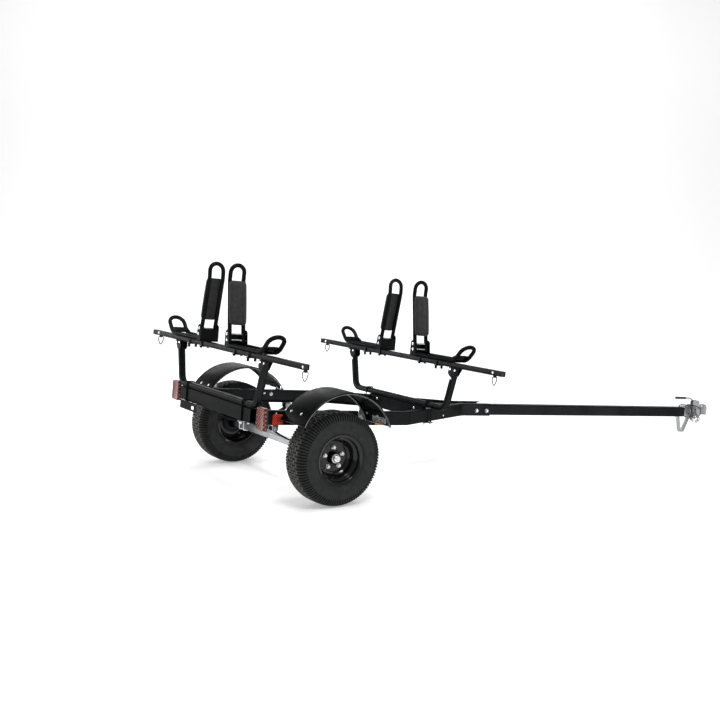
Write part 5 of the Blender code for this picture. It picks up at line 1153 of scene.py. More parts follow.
def make_pad(name, x, side):
    """Foam pad: crowned, with pinched sides, two moulded channels and slightly uneven edges."""
    bm = bmesh.new()
    front, rear = [], []
    for i in range(PAD_ROWS + 1):
        front.append([])
        rear.append([])
        for j in range(PAD_COLUMNS + 1):
            face, back = pad_point(i / PAD_ROWS, j / PAD_COLUMNS * 2 - 1, x, side)
            front[-1].append(bm.verts.new(face))
            rear[-1].append(bm.verts.new(back))
    for i in range(PAD_ROWS):
        for j in range(PAD_COLUMNS):
            bm.faces.new((front[i][j], front[i][j + 1], front[i + 1][j + 1], front[i + 1][j]))
            bm.faces.new((rear[i][j], rear[i + 1][j], rear[i + 1][j + 1], rear[i][j + 1]))
    for i in range(PAD_ROWS):
        for j in (0, PAD_COLUMNS):
            bm.faces.new((front[i][j], front[i + 1][j], rear[i + 1][j], rear[i][j]))
    for j in range(PAD_COLUMNS):
        for i in (0, PAD_ROWS):
            bm.faces.new((front[i][j], front[i][j + 1], rear[i][j + 1], rear[i][j]))
    replaced = ["cradle_arm_pad_" + name]
    pad = place(bm, "cradle_pad_" + name, "foam", "arm_" + name, replaced, subdivide=1)


def make_cradle(end_name, x, side_name, side):
    name = end_name + "_" + side_name
    for make in (
        make_hook, make_saddle, make_bracket, make_clamps, make_lock_bolt,
        make_arm, make_arm_bolts, make_pad,
    ):
        make(name, x, side)


# Load bars, tie rings and support tubes

# How far each tie ring's tab is from the bar's end
TAB_INSETS = {"rear_left": 0.097, "rear_right": 0.008, "front_left": 0.070, "front_right": 0.070}
TAB_OVERLAP = 0.001
TAB_DROP = 0.013
PLUG_LENGTH = 0.030
RING_DROP = 0.0085
RING_HEIGHT = 0.050
RING_HALF = 0.0165
RING_WIRE = 0.0026

RAIL_TOP = 0.502
RAIL_BOTTOM = 0.412
SUPPORT_WIDTH = 0.040
SUPPORT_HEIGHT = 0.034
SUPPORT_BEND_Y = 0.499
SUPPORT_RUN_Z = RAIL_TOP + GAP + SUPPORT_HEIGHT / 2
SEAT_TOP = BAR_BOTTOM - GAP
SUPPORT_TOP = SEAT_TOP - 0.002
SUPPORT_LEAN = math.tan(math.radians(14.6))
SUPPORT_END_Y = SUPPORT_BEND_Y + SUPPORT_LEAN * (SUPPORT_TOP - SUPPORT_RUN_Z)
GUSSET_DROP = 0.052
UBOLT_ROD = 0.004


def ring_y(name, side):
    return side * (BAR_LENGTH / 2 - TAB_INSETS[name])


def make_load_bar(end_name, x):
    end = BAR_LENGTH / 2 - 0.0002
    bm = bmesh.new()
    outer = round_rectangle(BAR_WIDTH, BAR_HEIGHT, 0.0030, 4)
    inner = round_rectangle(BAR_WIDTH - 0.004, BAR_HEIGHT - 0.004, 0.0012, 4)
    path = [(x, -end, BAR_CENTRE_Z), (x, end, BAR_CENTRE_Z)]
    sweep(bm, outer, path, (1, 0, 0), hollow=inner)
    top, low = BAR_BOTTOM + TAB_OVERLAP, BAR_BOTTOM - TAB_DROP
    tab = [(x - 0.009, top), (x + 0.009, top), (x + 0.009, low, 0.005), (x - 0.009, low, 0.005)]
    tab = round_corners(tab, 0.0, 5)
    for side_name, side in SIDES:
        prism(bm, tab, "Y", *around(ring_y(end_name + "_" + side_name, side), 0.0044))
    name = "load_bar_" + end_name
    place(bm, "load_bar_dressed_" + end_name, "coat", None, [name], smooth=40)


def make_bar_ends(end_name, x):
    """Plugs in the bar's ends, and the screws of the tabs."""
    plugs = bmesh.new()
    screws = bmesh.new()
    lip = round_rectangle(BAR_WIDTH - 0.0046, BAR_HEIGHT - 0.0046, 0.0010, 4)
    lip = [(x + a, BAR_CENTRE_Z + b) for a, b in lip]
    back = Vector((-1, 0, 0))
    for side_name, side in SIDES:
        end = BAR_LENGTH / 2
        prism(plugs, lip, "Y", side * (end - 0.0042), side * (end - PLUG_LENGTH))
        y = ring_y(end_name + "_" + side_name, side)
        spot = Vector((x - BAR_WIDTH / 2, y, BAR_CENTRE_Z + 0.001))
        washer(screws, spot, back, 0.0080, 0.0012)
        dome_head(screws, spot + back * 0.0012, back, 0.0062, 0.0030)
        make_ring(end_name + "_" + side_name, x, y)
    place(plugs, "load_bar_plugs_" + end_name, "plastic", bevel=0.0006, smooth=40)
    place(screws, "load_bar_screws_" + end_name, "zinc", smooth=34)


def make_ring(name, x, y):
    """Wire loop with a straight top that hangs in its tab and narrows to a point."""
    z = BAR_BOTTOM - RING_DROP
    corners = [
        (0.015, 0.0, 0.004),
        (RING_HALF, -0.0100, 0.010),
        (RING_HALF * 0.96, -0.0200, 0.020),
        (RING_HALF * 0.62, -0.0360, 0.020),
        (RING_HALF * 0.22, -RING_HEIGHT + 0.0030, 0.003),
    ]
    shape = round_corners(corners + [(-a, b, r) for a, b, r in reversed(corners)], 0.003, 5)
    bm = bmesh.new()
    pipe(bm, RING_WIRE, [(x + a, y, z + b) for a, b in shape], 12, closed=True)
    place(bm, "tie_ring_dressed_" + name, "coat", "ring_" + name, ["tie_ring_" + name], smooth=60)


def make_support(end_name, x):
    corners = [(x, -SUPPORT_END_Y, SUPPORT_TOP), (x, -SUPPORT_BEND_Y, SUPPORT_RUN_Z)]
    corners += [(x, -y, z) for _, y, z in reversed(corners)]
    bm = bmesh.new()
    outer = round_rectangle(SUPPORT_WIDTH, SUPPORT_HEIGHT, 0.0110, 6)
    rings = section_rings(outer, bent_path(corners, 0.060, 14), (1, 0, 0))
    for side, end in ((-1, 0), (1, -1)):
        upright = Vector((0, side * SUPPORT_LEAN, 1))
        rings[end] = [p + upright * (SUPPORT_TOP - p.z) for p in rings[end]]
    skin(bm, rings)
    name = "support_tube_" + end_name
    place(bm, "support_tube_dressed_" + end_name, "coat", None, [name], smooth=50)


def make_seats(end_name, x):
    """Plates that the load bar lies on, each with a gusset in front of and behind the tube."""
    seats = bmesh.new()
    bolts = bmesh.new()
    foot_y = SUPPORT_END_Y - SUPPORT_LEAN * GUSSET_DROP
    foot_z = SEAT_TOP - GUSSET_DROP
    low, high = around(SUPPORT_END_Y, 0.042)
    for _, side in SIDES:
        ends = (side * low, side * high)
        slab(seats, around(x, 0.0235), ends, (SEAT_TOP - 0.004, SEAT_TOP), 0.004, 3)
        gusset = [(side * y, SEAT_TOP - 0.001) for y in (low + 0.004, high - 0.004)]
        gusset += [(side * (foot_y + y), foot_z, 0.006) for y in (0.015, -0.015)]
        gusset.append((side * (foot_y - 0.034), foot_z + 0.0182, 0.010))
        gusset = round_corners(gusset, 0.0, 4)
        for face in FACES:
            start = x + face * 0.019
            prism(seats, gusset, "X", start, start + face * 0.0035)
            for across, drop in ((-0.030, 0.010), (0.026, 0.012)):
                y = side * (SUPPORT_END_Y + across * 0.8)
                spot = (x + face * 0.0225, y, SEAT_TOP - drop)
                hex_nut(bolts, spot, (face, 0, 0), 0.0062, 0.0034)
    place(seats, "support_seats_" + end_name, "coat", bevel=0.0008, smooth=40)
    place(bolts, "support_seat_bolts_" + end_name, "zinc", smooth=34)


def make_ubolt(end_name, x, side_name, side, y, plate_top):
    """Coated U-bolt and a plate, galvanised at the rear and coated at the front, with plain zinc
    nuts and washers below.
    """
    name = end_name + "_" + side_name
    y = side * y
    crown = SUPPORT_RUN_Z + SUPPORT_HEIGHT / 2 + GAP + UBOLT_ROD
    plate_bottom = plate_top - 0.005
    tail = plate_bottom - 0.014
    rear, front = around(x, SUPPORT_WIDTH / 2 + 0.0005 + UBOLT_ROD)
    corners = [(rear, y, tail), (rear, y, crown), (front, y, crown), (front, y, tail)]
    bm = bmesh.new()
    pipe(bm, UBOLT_ROD, bent_path(corners, 0.009, 8), 14)
    place(bm, "ubolt_" + name, "coat", None, ["support_ubolt_" + name], smooth=60)
    plate = bmesh.new()
    slab(plate, around(x, 0.037), around(y, 0.013), (plate_bottom, plate_top), 0.005)
    nuts = bmesh.new()
    down = Vector((0, 0, -1))
    for leg in (rear, front):
        base = Vector((leg, y, plate_bottom))
        nut_on_washer(nuts, base, down, (0.0092, 0.0014), (0.0088, 0.0082, 0.0), 17)
        pipe(nuts, 0.0043, [base + down * 0.006, base + down * 0.0142], 14)
    finish = "galvanised" if end_name == "rear" else "coat"
    place(plate, "ubolt_plate_" + name, finish, bevel=0.0007, smooth=40)
    place(nuts, "ubolt_nuts_" + name, "zinc", smooth=34)


# Running gear below the rails

SPRING_Y = 0.445
SPRING_EYE_X = 0.285
SPRING_WIDTH = 0.0445
SPRING_LEAF = 0.007
SPRING_STEPS = 24
EYE_RADIUS = 0.0135
EYE_BORE = 0.0075
SECOND_LEAF_HALF = 0.165
SEAM = 0.0001
TIP_STEPS = 5
CLIP_X = 0.118
CLIP_HALF = 0.009
CLIP_SHEET = 0.0018
AXLE_HALF = 0.020
HANGER_SHEET = 0.006
HANGER_TOP = RAIL_BOTTOM - GAP
HANGER_HALF = 0.018
CHEEK_GAP = 0.0005
SPRING_EYE_Z = RAIL_BOTTOM - GAP - HANGER_SHEET - GAP - EYE_RADIUS
SECOND_LEAF_Z = AXLE_Z + AXLE_HALF + GAP + SPRING_LEAF / 2
MAIN_LEAF_Z = SECOND_LEAF_Z + SPRING_LEAF - GAP
LEAF_RISE = SPRING_EYE_Z - EYE_RADIUS + SPRING_LEAF / 2 - MAIN_LEAF_Z
TIE_HALF_X = 0.036
TIE_SHEET = 0.006
ROD = 0.0045


def leaf_z(x, centre_z):
    return centre_z + LEAF_RISE * (x / SPRING_EYE_X) ** 2


def leaf_path(end, y, length, centre_z):
    shares = [step / SPRING_STEPS for step in range(SPRING_STEPS + 1)]
    runs = [SEAM + (length - SEAM) * share for share in shares]
    return [Vector((end * x, y, leaf_z(x, centre_z))) for x in runs]


def add_leaves(bm, end, y):
    """The main leaf with its eye, and the shorter leaf below it."""
    half_width = SPRING_WIDTH / 2 - SEAM
    section = round_rectangle(2 * half_width, SPRING_LEAF - 2 * SEAM, 0.0016, 3)
    sweep(bm, section, leaf_path(end, y, SPRING_EYE_X - 0.004, MAIN_LEAF_Z), (0, 1, 0))
    path = leaf_path(end, y, SECOND_LEAF_HALF, SECOND_LEAF_Z)
    rings = section_rings(section, path, (0, 1, 0))
    # The lower leaf's tip narrows and is cut to a blunt point
    start, tip = path[-TIP_STEPS].x, path[-1].x
    for ring, centre in zip(rings[-TIP_STEPS:], path[-TIP_STEPS:]):
        share = 1 - 0.45 * ((centre.x - start) / (tip - start)) ** 1.5
        for point in ring:
            point.y = y + (point.y - y) * share
    skin(bm, rings)
    eye = [(EYE_BORE, -half_width), (EYE_RADIUS, -half_width)]
    eye += [(radius, -along) for radius, along in reversed(eye)]
    eye = round_corners(eye, 0.0006, 3)
    lathe(bm, eye, (end * SPRING_EYE_X, y, SPRING_EYE_Z), (0, 1, 0), 40, closed=True)


def add_spring_clip(bm, end, y):
    half_width = SPRING_WIDTH / 2 - SEAM
    low = leaf_z(CLIP_X, SECOND_LEAF_Z) - SPRING_LEAF / 2 - CLIP_SHEET
    high = leaf_z(CLIP_X, MAIN_LEAF_Z) + SPRING_LEAF / 2 + CLIP_SHEET
    x_range = [end * x for x in around(CLIP_X, CLIP_HALF)]
    for face in FACES:
        wall = y + face * half_width
        block(bm, x_range, (wall, wall + face * CLIP_SHEET), (low, high))
    for z in (low, high - CLIP_SHEET):
        block(bm, x_range, around(y, half_width + CLIP_SHEET), (z, z + CLIP_SHEET))


def make_leaf_spring(side_name, side):
    """Two halves that bend from the axle to their eyes."""
    y = side * SPRING_Y
    for end_name, end in (("rear", -1), ("front", 1)):
        bm = bmesh.new()
        add_leaves(bm, end, y)
        add_spring_clip(bm, end, y)
        name = "leaf_spring_" + end_name + "_" + side_name
        replaced = ["leaf_spring_" + side_name] if end == 1 else []
        bend = [Vector((end * x, y, MAIN_LEAF_Z)) for x in (0.040, SPRING_EYE_X - 0.018)]
        place(bm, name, "spring", "axle", replaced, smooth=34, bend=bend)


def make_hanger(end_name, end, side_name, side):
    name = end_name + "_" + side_name
    x, y = end * SPRING_EYE_X, side * SPRING_Y
    inner = SPRING_WIDTH / 2 + CHEEK_GAP
    outer = inner + 0.004
    bm = bmesh.new()
    x_range = around(x, HANGER_HALF)
    block(bm, x_range, around(y, outer), (HANGER_TOP - HANGER_SHEET, HANGER_TOP))
    cheek = [(edge, HANGER_TOP - 0.001) for edge in x_range]
    cheek += [(x + a, SPRING_EYE_Z + b) for a, b in arc_points((0, 0), 0.0178, -10, -170, 14)]
    for face in FACES:
        prism(bm, cheek, "Y", y + face * inner, y + face * outer)
    replaced = ["spring_hanger_" + name]
    place(bm, "hanger_" + name, "galvanised", None, replaced, bevel=0.0008, smooth=40)
    bolt = bmesh.new()
    centre = Vector((x, y, SPRING_EYE_Z))
    pipe(bolt, 0.0064, [centre - Vector((0, outer, 0)), centre + Vector((0, outer, 0))], 20)
    out = Vector((0, side, 0))
    washer(bolt, centre + out * outer, out, 0.0104)
    dome_head(bolt, centre + out * (outer + 0.0016), out, 0.0098, 0.0060)
    nut_on_washer(bolt, centre - out * outer, -out, (0.0104, 0.0016), (0.0103, 0.0072, 0.0))
    place(bolt, "hanger_bolt_" + name, "galvanised", smooth=34)


def make_axle_clamp(side_name, side):
    """Tie plate on the spring with the nuts of two U-bolts round the axle."""
    y = side * SPRING_Y
    low = leaf_z(TIE_HALF_X, MAIN_LEAF_Z) + SPRING_LEAF / 2 + GAP
    top = low + TIE_SHEET
    bm = bmesh.new()
    slab(bm, around(0, TIE_HALF_X), around(y, 0.040), (low, top), 0.006)
    name = "clamp_plate_" + side_name
    replaced = ["axle_clamp_" + side_name]
    place(bm, name, "galvanised", "axle", replaced, bevel=0.0008, smooth=40)
    rods = bmesh.new()
    leg = AXLE_HALF + CHEEK_GAP + ROD
    floor = AXLE_Z - AXLE_HALF - GAP - ROD
    end = top + 0.008 + 0.006
    up = Vector((0, 0, 1))
    for row in FACES:
        row_y = y + row * (SPRING_WIDTH / 2 + ROD + 0.001)
        corners = [(-leg, row_y, end), (-leg, row_y, floor), (leg, row_y, floor), (leg, row_y, end)]
        pipe(rods, ROD, bent_path(corners, 0.008, 8), 14)
        for x in (-leg, leg):
            base = Vector((x, row_y, top - 0.0002))
            nut_on_washer(rods, base, up, (0.0094, 0.0014), (0.0093, 0.0066, 0.0), 10 * row)
    place(rods, "clamp_ubolts_" + side_name, "zinc", "axle", smooth=34)


# Lamps

UP = Vector((0, 0, 1))
LENS_CORNER = 0.0088
LAMP_PLATE_X = -0.416
LAMP_BRACKET_X = -0.352
LAMP_CENTRE = (0.573, 0.462)
LAMP_NUT_ZS = (0.436, 0.474)
# Share of the depth and inset from the outline: base, outer surface, and the window's edge
LENS_BASE = ((0.0, 0.0006), (0.06, 0.0), (1.0, 0.0))
LENS_SIDE = ((0.30, 0.0004), (0.72, 0.0009), (0.88, 0.0016), (0.955, 0.0030), (0.985, 0.0048))
LENS_WINDOW = ((0.985, 0.0040), (0.93, 0.0056))


def make_lens(name, node, size, centre, facing, finish, border, ribs=()):
    """Moulded lens: a dark base, a raised border and a slightly sunken window with ridges."""
    length, height, depth = size
    facing, centre = Vector(facing), Vector(centre)
    along = facing.cross(UP)

    def ring(distance, inset, corner):
        section = round_rectangle(length - 2 * inset, height - 2 * inset, corner, 5)
        return [centre + facing * distance + along * a + UP * b for a, b in section]

    base = bmesh.new()
    skin(base, [ring(depth * 0.30 * share, i, LENS_CORNER - i) for share, i in LENS_BASE])
    place(base, name + "_base", "plastic", None, [node], smooth=40)
    lens = bmesh.new()
    rings = [ring(depth * share, i, max(LENS_CORNER - i, 0.003)) for share, i in LENS_SIDE]
    rings += [ring(depth * share, border + i, 0.0030) for share, i in LENS_WINDOW]
    skin(lens, rings)
    wide = length / 2 - border - 0.0066
    tall = height / 2 - border - 0.0066
    for share in ribs:
        middle = centre + facing * depth * 0.935 + UP * (tall * share)
        pipe(lens, 0.0014, [middle + along * (wide * (t / 4 - 1)) for t in range(9)], 8)
    place(lens, name + "_lens", finish, smooth=36)


def make_tail_lamp(side_name, side):
    centre = (LAMP_PLATE_X - GAP, side * LAMP_CENTRE[0], LAMP_CENTRE[1])
    make_lens(
        "tail_" + side_name, "tail_lamp_" + side_name, (0.092, 0.122, 0.024), centre,
        (-1, 0, 0), "red", 0.0035, (-0.12, 0.30),
    )


def make_side_markers(side_name, side):
    back = side * RAIL_FACE
    make_lens(
        "marker_red_" + side_name, "side_marker_red_" + side_name, (0.066, 0.060, 0.0072),
        (-0.276, back, 0.443), (0, side, 0), "marker", 0.0045,
    )
    window = bmesh.new()
    outline = [(a - 0.266, b + 0.446) for a, b in round_rectangle(0.034, 0.029, 0.004, 4)]
    prism(window, outline, "Y", back + side * 0.0060, back + side * 0.0073)
    bar = [(a - 0.298, b + 0.449) for a, b in round_rectangle(0.014, 0.0035, 0.0016, 3)]
    prism(window, bar, "Y", back + side * 0.0060, back + side * 0.0074)
    place(window, "marker_window_" + side_name, "reflector", bevel=0.0005, smooth=40)
    make_lens(
        "marker_amber_" + side_name, "side_marker_amber_" + side_name, (0.088, 0.028, 0.020),
        (0.404, back, 0.428), (0, side, 0), "amber", 0.0020,
    )


def make_lamp_nuts(side_name, side):
    nuts = bmesh.new()
    outward = Vector((0, side, 0))
    nut = (0.0078, 0.0058, 0.0036)
    for z in LAMP_NUT_ZS:
        spot = Vector((LAMP_PLATE_X, side * 0.503, z))
        nut_on_washer(nuts, spot, (-1, 0, 0), (0.0088, 0.0014), nut, 12)
        spot = Vector((LAMP_BRACKET_X, side * 0.4746, z))
        nut_on_washer(nuts, spot, outward, (0.0088, 0.0014), nut, 25)
    place(nuts, "lamp_nuts_" + side_name, "zinc", smooth=34)


# Tongue, coupler, stand and chain

TONGUE_Z = 0.447
TONGUE_SIDE = 0.0753
TONGUE_BOTTOM = TONGUE_Z - 0.035
TONGUE_FRONT_X = 3.560
COUPLER_SIZE = 0.063
COUPLER_TOP = TONGUE_Z + COUPLER_SIZE / 2
COUPLER_BOTTOM = TONGUE_Z - COUPLER_SIZE / 2
BALL_X = 3.839 - 0.038
BALL_BOTTOM = 0.429
# Where the neck's section changes, and by how much it has narrowed there
NECK = (
    (3.452, 0.0), (3.560, 0.0), (3.562, 0.0), (3.690, 0.0), (3.725, -0.001), (3.752, -0.004),
    (3.774, -0.012),
)
# Ball housing as radius and height: outside from the crown, skirt, and up inside the socket
HOUSING = [
    (0.0, 0.080), (0.014, 0.0795), (0.026, 0.0755), (0.0335, 0.068), (0.0370, 0.057),
    (0.0378, 0.044), (0.0378, 0.012), (0.0383, 0.006), (0.0389, 0.0035), (0.0389, 0.0004),
    (0.0340, 0.0000), (0.0268, 0.0002), (0.0264, 0.020),
]
SOCKET_RADIUS = 0.0262
LATCH_BOX = [
    (3.676, COUPLER_TOP - 0.002), (3.760, COUPLER_TOP - 0.002), (3.748, 0.528, 0.006),
    (3.738, 0.538, 0.006), (3.688, 0.538, 0.010), (3.676, 0.526, 0.006),
]
LATCH_HOOK = [
    (3.740, 0.500), (3.770, 0.503, 0.006), (3.776, 0.498, 0.004), (3.776, 0.490), (3.740, 0.486)
]
PIVOT = (3.712, 0, 0.522)
LEVER_Z = 0.554
GRIP_X = 3.483
GRIP_STEPS = 26
GRIP_GROOVES = 5
# Half the thickness of the stand's strap, with a little air
STRAP_HALF = 0.003
STAND_RADIUS = 0.024
STAND_CENTRE = (3.578, 0.291 + STAND_RADIUS + STRAP_HALF)
STAND_REAR = (3.529, TONGUE_BOTTOM - GAP - STRAP_HALF)
STAND_FRONT = (3.652, COUPLER_BOTTOM - GAP - STRAP_HALF)
STAND_TAB = 0.032
LINK_WIRE = 0.0030
LINK_LENGTH = 0.0330
LINK_WIDTH = 0.0200
# How far each further turn of chain is shifted along the neck, and its number of links
WINDINGS = ((0.043, 12), (-0.038, 11))
CHAIN_EYE = (TONGUE_FRONT_X + 0.068, -0.049, 0.404)
CABLE_HALF_Y, CABLE_HALF_Z = 0.0590, 0.0485
CABLE_Z = TONGUE_Z + 0.0055
CABLE_STEPS = 72
# Top, bottom and bulge along the neck of each turn of cable
CABLE_TURNS = ((3.600, 3.655, -0.012), (3.668, 3.676, 0.045))


def make_tongue_bolts():
    """Bolts of the rails along the tongue, with wide washers."""
    bolts = bmesh.new()
    for x in (1.442, 1.528):
        for _, side in SIDES:
            spot = Vector((x, side * TONGUE_SIDE, TONGUE_Z))
            nut = (0.0108, 0.0085, 0.0056)
            nut_on_washer(bolts, spot, (0, side, 0), (0.0138, 0.0018), nut, 12)
    place(bolts, "tongue_bolts", "zinc", smooth=34)


def make_coupler():
    """Pressed coupler: a square neck and a round ball housing with a rolled skirt."""
    bm = bmesh.new()
    outer = round_rectangle(COUPLER_SIZE, COUPLER_SIZE, 0.006, 5)
    rings = []
    for x, narrower in NECK:
        size = 1 + narrower / (COUPLER_SIZE / 2)
        rings.append([Vector((x, a * size, TONGUE_Z + b * size)) for a, b in outer])
    skin(bm, rings)
    socket = arc_points((0, 0.022), SOCKET_RADIUS, 15, 75, 3)
    lathe(bm, HOUSING + socket + [(0.0, 0.0484)], (BALL_X, 0, BALL_BOTTOM), UP, 56)
    place(bm, "coupler_dressed", "galvanised", None, ["coupler_body"], smooth=44)


def make_latch_box():
    """Two cheeks on the coupler's top with the latch block and its hook between them."""
    lugs = bmesh.new()
    for _, side in SIDES:
        prism(lugs, round_corners(LATCH_BOX, 0.0, 5), "Y", side * 0.011, side * 0.015)
    block(lugs, (3.726, 3.748), (-0.0104, 0.0104), (0.492, 0.5355))
    prism(lugs, round_corners(LATCH_HOOK, 0.0, 4), "Y", -0.013, 0.013)
    place(lugs, "coupler_latch_box", "galvanised", bevel=0.0009, smooth=40)


def make_lever():
    """Zinc rod with a finger-grooved rubber grip, on its pivot boss."""
    rod = bmesh.new()
    pivot = Vector(PIVOT)
    corners = [PIVOT, (PIVOT[0] - 0.062, 0, LEVER_Z), (3.540, 0, LEVER_Z)]
    pipe(rod, 0.0046, bent_path(corners, 0.030, 12), 16)
    pipe(rod, 0.0039, [pivot - Vector((0, 0.0178, 0)), pivot + Vector((0, 0.0178, 0))], 18)
    boss = [(0, -0.0104), (0.0088, -0.0104), (0.0088, 0.0104), (0, 0.0104)]
    lathe(rod, round_corners(boss, 0.001, 3, closed=False), PIVOT, (0, 1, 0), 28)
    place(rod, "latch_lever_rod", "metal_and_painted_highlight", "latch_lever", ["coupler_latch_lever"], smooth=40)
    grip = bmesh.new()
    profile = [(0, 0), (0.0066, 0.0), (0.0088, 0.0014), (0.0095, 0.004)]
    for step in range(1, GRIP_STEPS):
        share = step / GRIP_STEPS
        groove = 0.0006 * math.cos(share * math.tau * GRIP_GROOVES)
        profile.append((0.0089 + groove, 0.004 + 0.104 * share))
    profile += [(0.0095, 0.1085), (0.0086, 0.1118), (0.0060, 0.113), (0, 0.113)]
    lathe(grip, profile, (GRIP_X, 0, LEVER_Z), (1, 0, 0), 24)
    place(grip, "latch_lever_grip", "plastic", "latch_lever", smooth=50)


def foot_angle(top):
    """Angle from the vertical at which a leg of the stand touches the foot's bend."""
    across, rise = abs(STAND_CENTRE[0] - top[0]), top[1] - STAND_CENTRE[1]
    reach = math.hypot(across, rise)
    return math.degrees(math.atan2(across, rise) - math.asin(STAND_RADIUS / reach))


def make_stand():
    rear_deg, front_deg = 180 + foot_angle(STAND_REAR), 360 - foot_angle(STAND_FRONT)
    foot = arc_points(STAND_CENTRE, STAND_RADIUS, rear_deg, front_deg, 22)
    outline = [(STAND_REAR[0] - STAND_TAB, STAND_REAR[1], 0), (*STAND_REAR, 0.007)]
    outline += [(x, z, 0) for x, z in foot]
    outline += [(*STAND_FRONT, 0.007), (STAND_FRONT[0] + STAND_TAB, STAND_FRONT[1], 0)]
    path = [(x, 0, z) for x, z in round_corners(outline, 0.0, 6, closed=False)]
    bm = bmesh.new()
    sweep(bm, round_rectangle(0.034, 0.0058, 0.0012, 3), path, (0, 1, 0))
    place(bm, "tongue_stand_dressed", "galvanised", None, ["tongue_stand"], smooth=40)
    bolts = bmesh.new()
    for x, z in ((3.512, STAND_REAR[1]), (3.670, STAND_FRONT[1])):
        hex_nut(bolts, (x, 0, z - 0.0029), (0, 0, -1), 0.0088, 0.0058, turn_deg=20)
    place(bolts, "stand_bolts", "zinc", smooth=34)


def chain_route():
    """From below the coupler over the neck and down its other side."""
    side_y = COUPLER_SIZE / 2 + 0.010 + 0.003
    top_x = TONGUE_FRONT_X + 0.062
    half = [
        (TONGUE_FRONT_X + 0.118, -side_y, COUPLER_BOTTOM - 0.020),
        (top_x + 0.012, -side_y, TONGUE_Z),
        (top_x, -side_y, COUPLER_TOP + 0.010 + GAP),
    ]
    return bent_path(half + [(x, -y, z) for x, y, z in reversed(half)], 0.015, 4)


def point_at(route, distance):
    """The point that lies so far along the route."""
    for before, after in zip(route, route[1:]):
        length = (after - before).length
        if distance < length or after is route[-1]:
            return before.lerp(after, min(max(distance / length, 0.0), 1.0))
        distance -= length


def add_links(bm, route, count):
    """Chain links along a route, each one turned a quarter from the last."""
    length = sum((after - before).length for before, after in zip(route, route[1:]))
    pitch = LINK_LENGTH - 2 * LINK_WIRE - 0.0006
    bend = LINK_WIDTH / 2 - LINK_WIRE
    straight = LINK_LENGTH / 2 - LINK_WIDTH / 2
    outline = arc_points((straight, 0), bend, -90, 90, 8)
    outline += arc_points((-straight, 0), bend, 90, 270, 8)
    for number in range(count):
        middle = (length - pitch * (count - 1)) / 2 + pitch * number
        centre = point_at(route, middle)
        before, after = [point_at(route, spot) for spot in around(middle, pitch / 2)]
        tangent = (after - before).normalized()
        side = Vector((1, 0, 0)) - tangent * tangent.x
        side.normalize()
        if number % 2:
            side = tangent.cross(side)
        link = [centre + tangent * a + side * b for a, b in outline]
        pipe(bm, LINK_WIRE, link, 10, closed=True)


def make_chain():
    bm = bmesh.new()
    route = chain_route()
    add_links(bm, route, 11)
    place(bm, "safety_chain_dressed", "chain", None, ["safety_chain"], smooth=60)
    windings = bmesh.new()
    for shift, links in WINDINGS:
        moved = [p + Vector((shift, 0, 0)) for p in route]
        tail = moved[0] - Vector((shift * 1.1, 0.002, 0.036))
        add_links(windings, [tail] + moved, links)
    eye = [Vector(CHAIN_EYE) + Vector((a, 0, b)) for a, b in circle_section(0.0120, 24)]
    pipe(windings, 0.0042, eye, 12, closed=True)
    place(windings, "safety_chain_windings", "chain", smooth=60)


def make_wiring():
    """Thin black cable wound twice round the chain on the neck."""
    turns = bmesh.new()
    for top_x, bottom_x, belly in CABLE_TURNS:
        loop = []
        for step in range(CABLE_STEPS):
            angle = math.tau * step / CABLE_STEPS
            across, rise = math.cos(angle), math.sin(angle)
            share = (1 + rise) / 2
            x = bottom_x + (top_x - bottom_x) * share + belly * math.cos(rise * math.pi / 2)
            y = CABLE_HALF_Y * math.copysign(abs(across) ** 0.55, across)
            z = CABLE_Z + CABLE_HALF_Z * math.copysign(abs(rise) ** 0.55, rise)
            loop.append(Vector((x, y, z)))
        pipe(turns, 0.0033, loop, 12, closed=True)
    place(turns, "trailer_wiring_turns", "plastic", smooth=60)


# Small fasteners and brackets on the frame

# The rails bend in from RAIL_Y at this x to the tongue, over this length
RAIL_BEND_X = 0.600
RAIL_BEND_LENGTH = 0.720
SLANT_BOLT = (1.053, 0.436)
PLATE_SIZE = (0.234, 0.051)
PLATE_BRACKET_YZ = (0.302, 0.4020)
PLATE_OPENING = (0.038, 0.022)


def make_rail_bolts():
    bolts = bmesh.new()
    for _, side in SIDES:
        out = Vector((0, side, 0))
        x, z = SLANT_BOLT
        bend = RAIL_Y - TONGUE_SIDE
        y = RAIL_Y - bend * (x - RAIL_BEND_X) / RAIL_BEND_LENGTH
        slant = Vector((bend, RAIL_BEND_LENGTH * side, 0)).normalized()
        dome_head(bolts, Vector((x, side * (y - 0.0002), z)), slant, 0.0070, 0.0028)
        inner = side * (RAIL_Y - RAIL_SHEET)
        spot = (0.178, inner, 0.461)
        nut_on_washer(bolts, spot, -out, (0.0120, 0.0016), (0.0100, 0.0075, 0.0048), 10)
        dome_head(bolts, (0.130, inner, 0.467), -out, 0.0085, 0.0034)
        back = (-1, 0, 0)
        dome_head(bolts, (FRONT_X - 0.0200, side * 0.207, 0.482), back, 0.0075, 0.0030)
        dome_head(bolts, (FRONT_X - 0.0202, side * 0.548, 0.708), back, 0.0080, 0.0034)
        for x in (-0.286, 0.284):
            dome_head(bolts, Vector((x, side * RAIL_Y, 0.476)), out, 0.0066, 0.0028)
    place(bolts, "rail_bolts", "zinc", smooth=34)


def make_plate_bracket():
    plate = bmesh.new()
    opening = round_rectangle(*PLATE_OPENING, 0.0095, 5)
    opening = [(a - 0.064, b - 0.0035) for a, b in opening]
    path = [(REAR_X - depth, *PLATE_BRACKET_YZ) for depth in (0.0372, 0.0396)]
    sweep(plate, round_rectangle(*PLATE_SIZE, 0.006, 5), path, (0, 1, 0), hollow=opening)
    place(plate, "registration_plate_bracket", "coat", smooth=40)


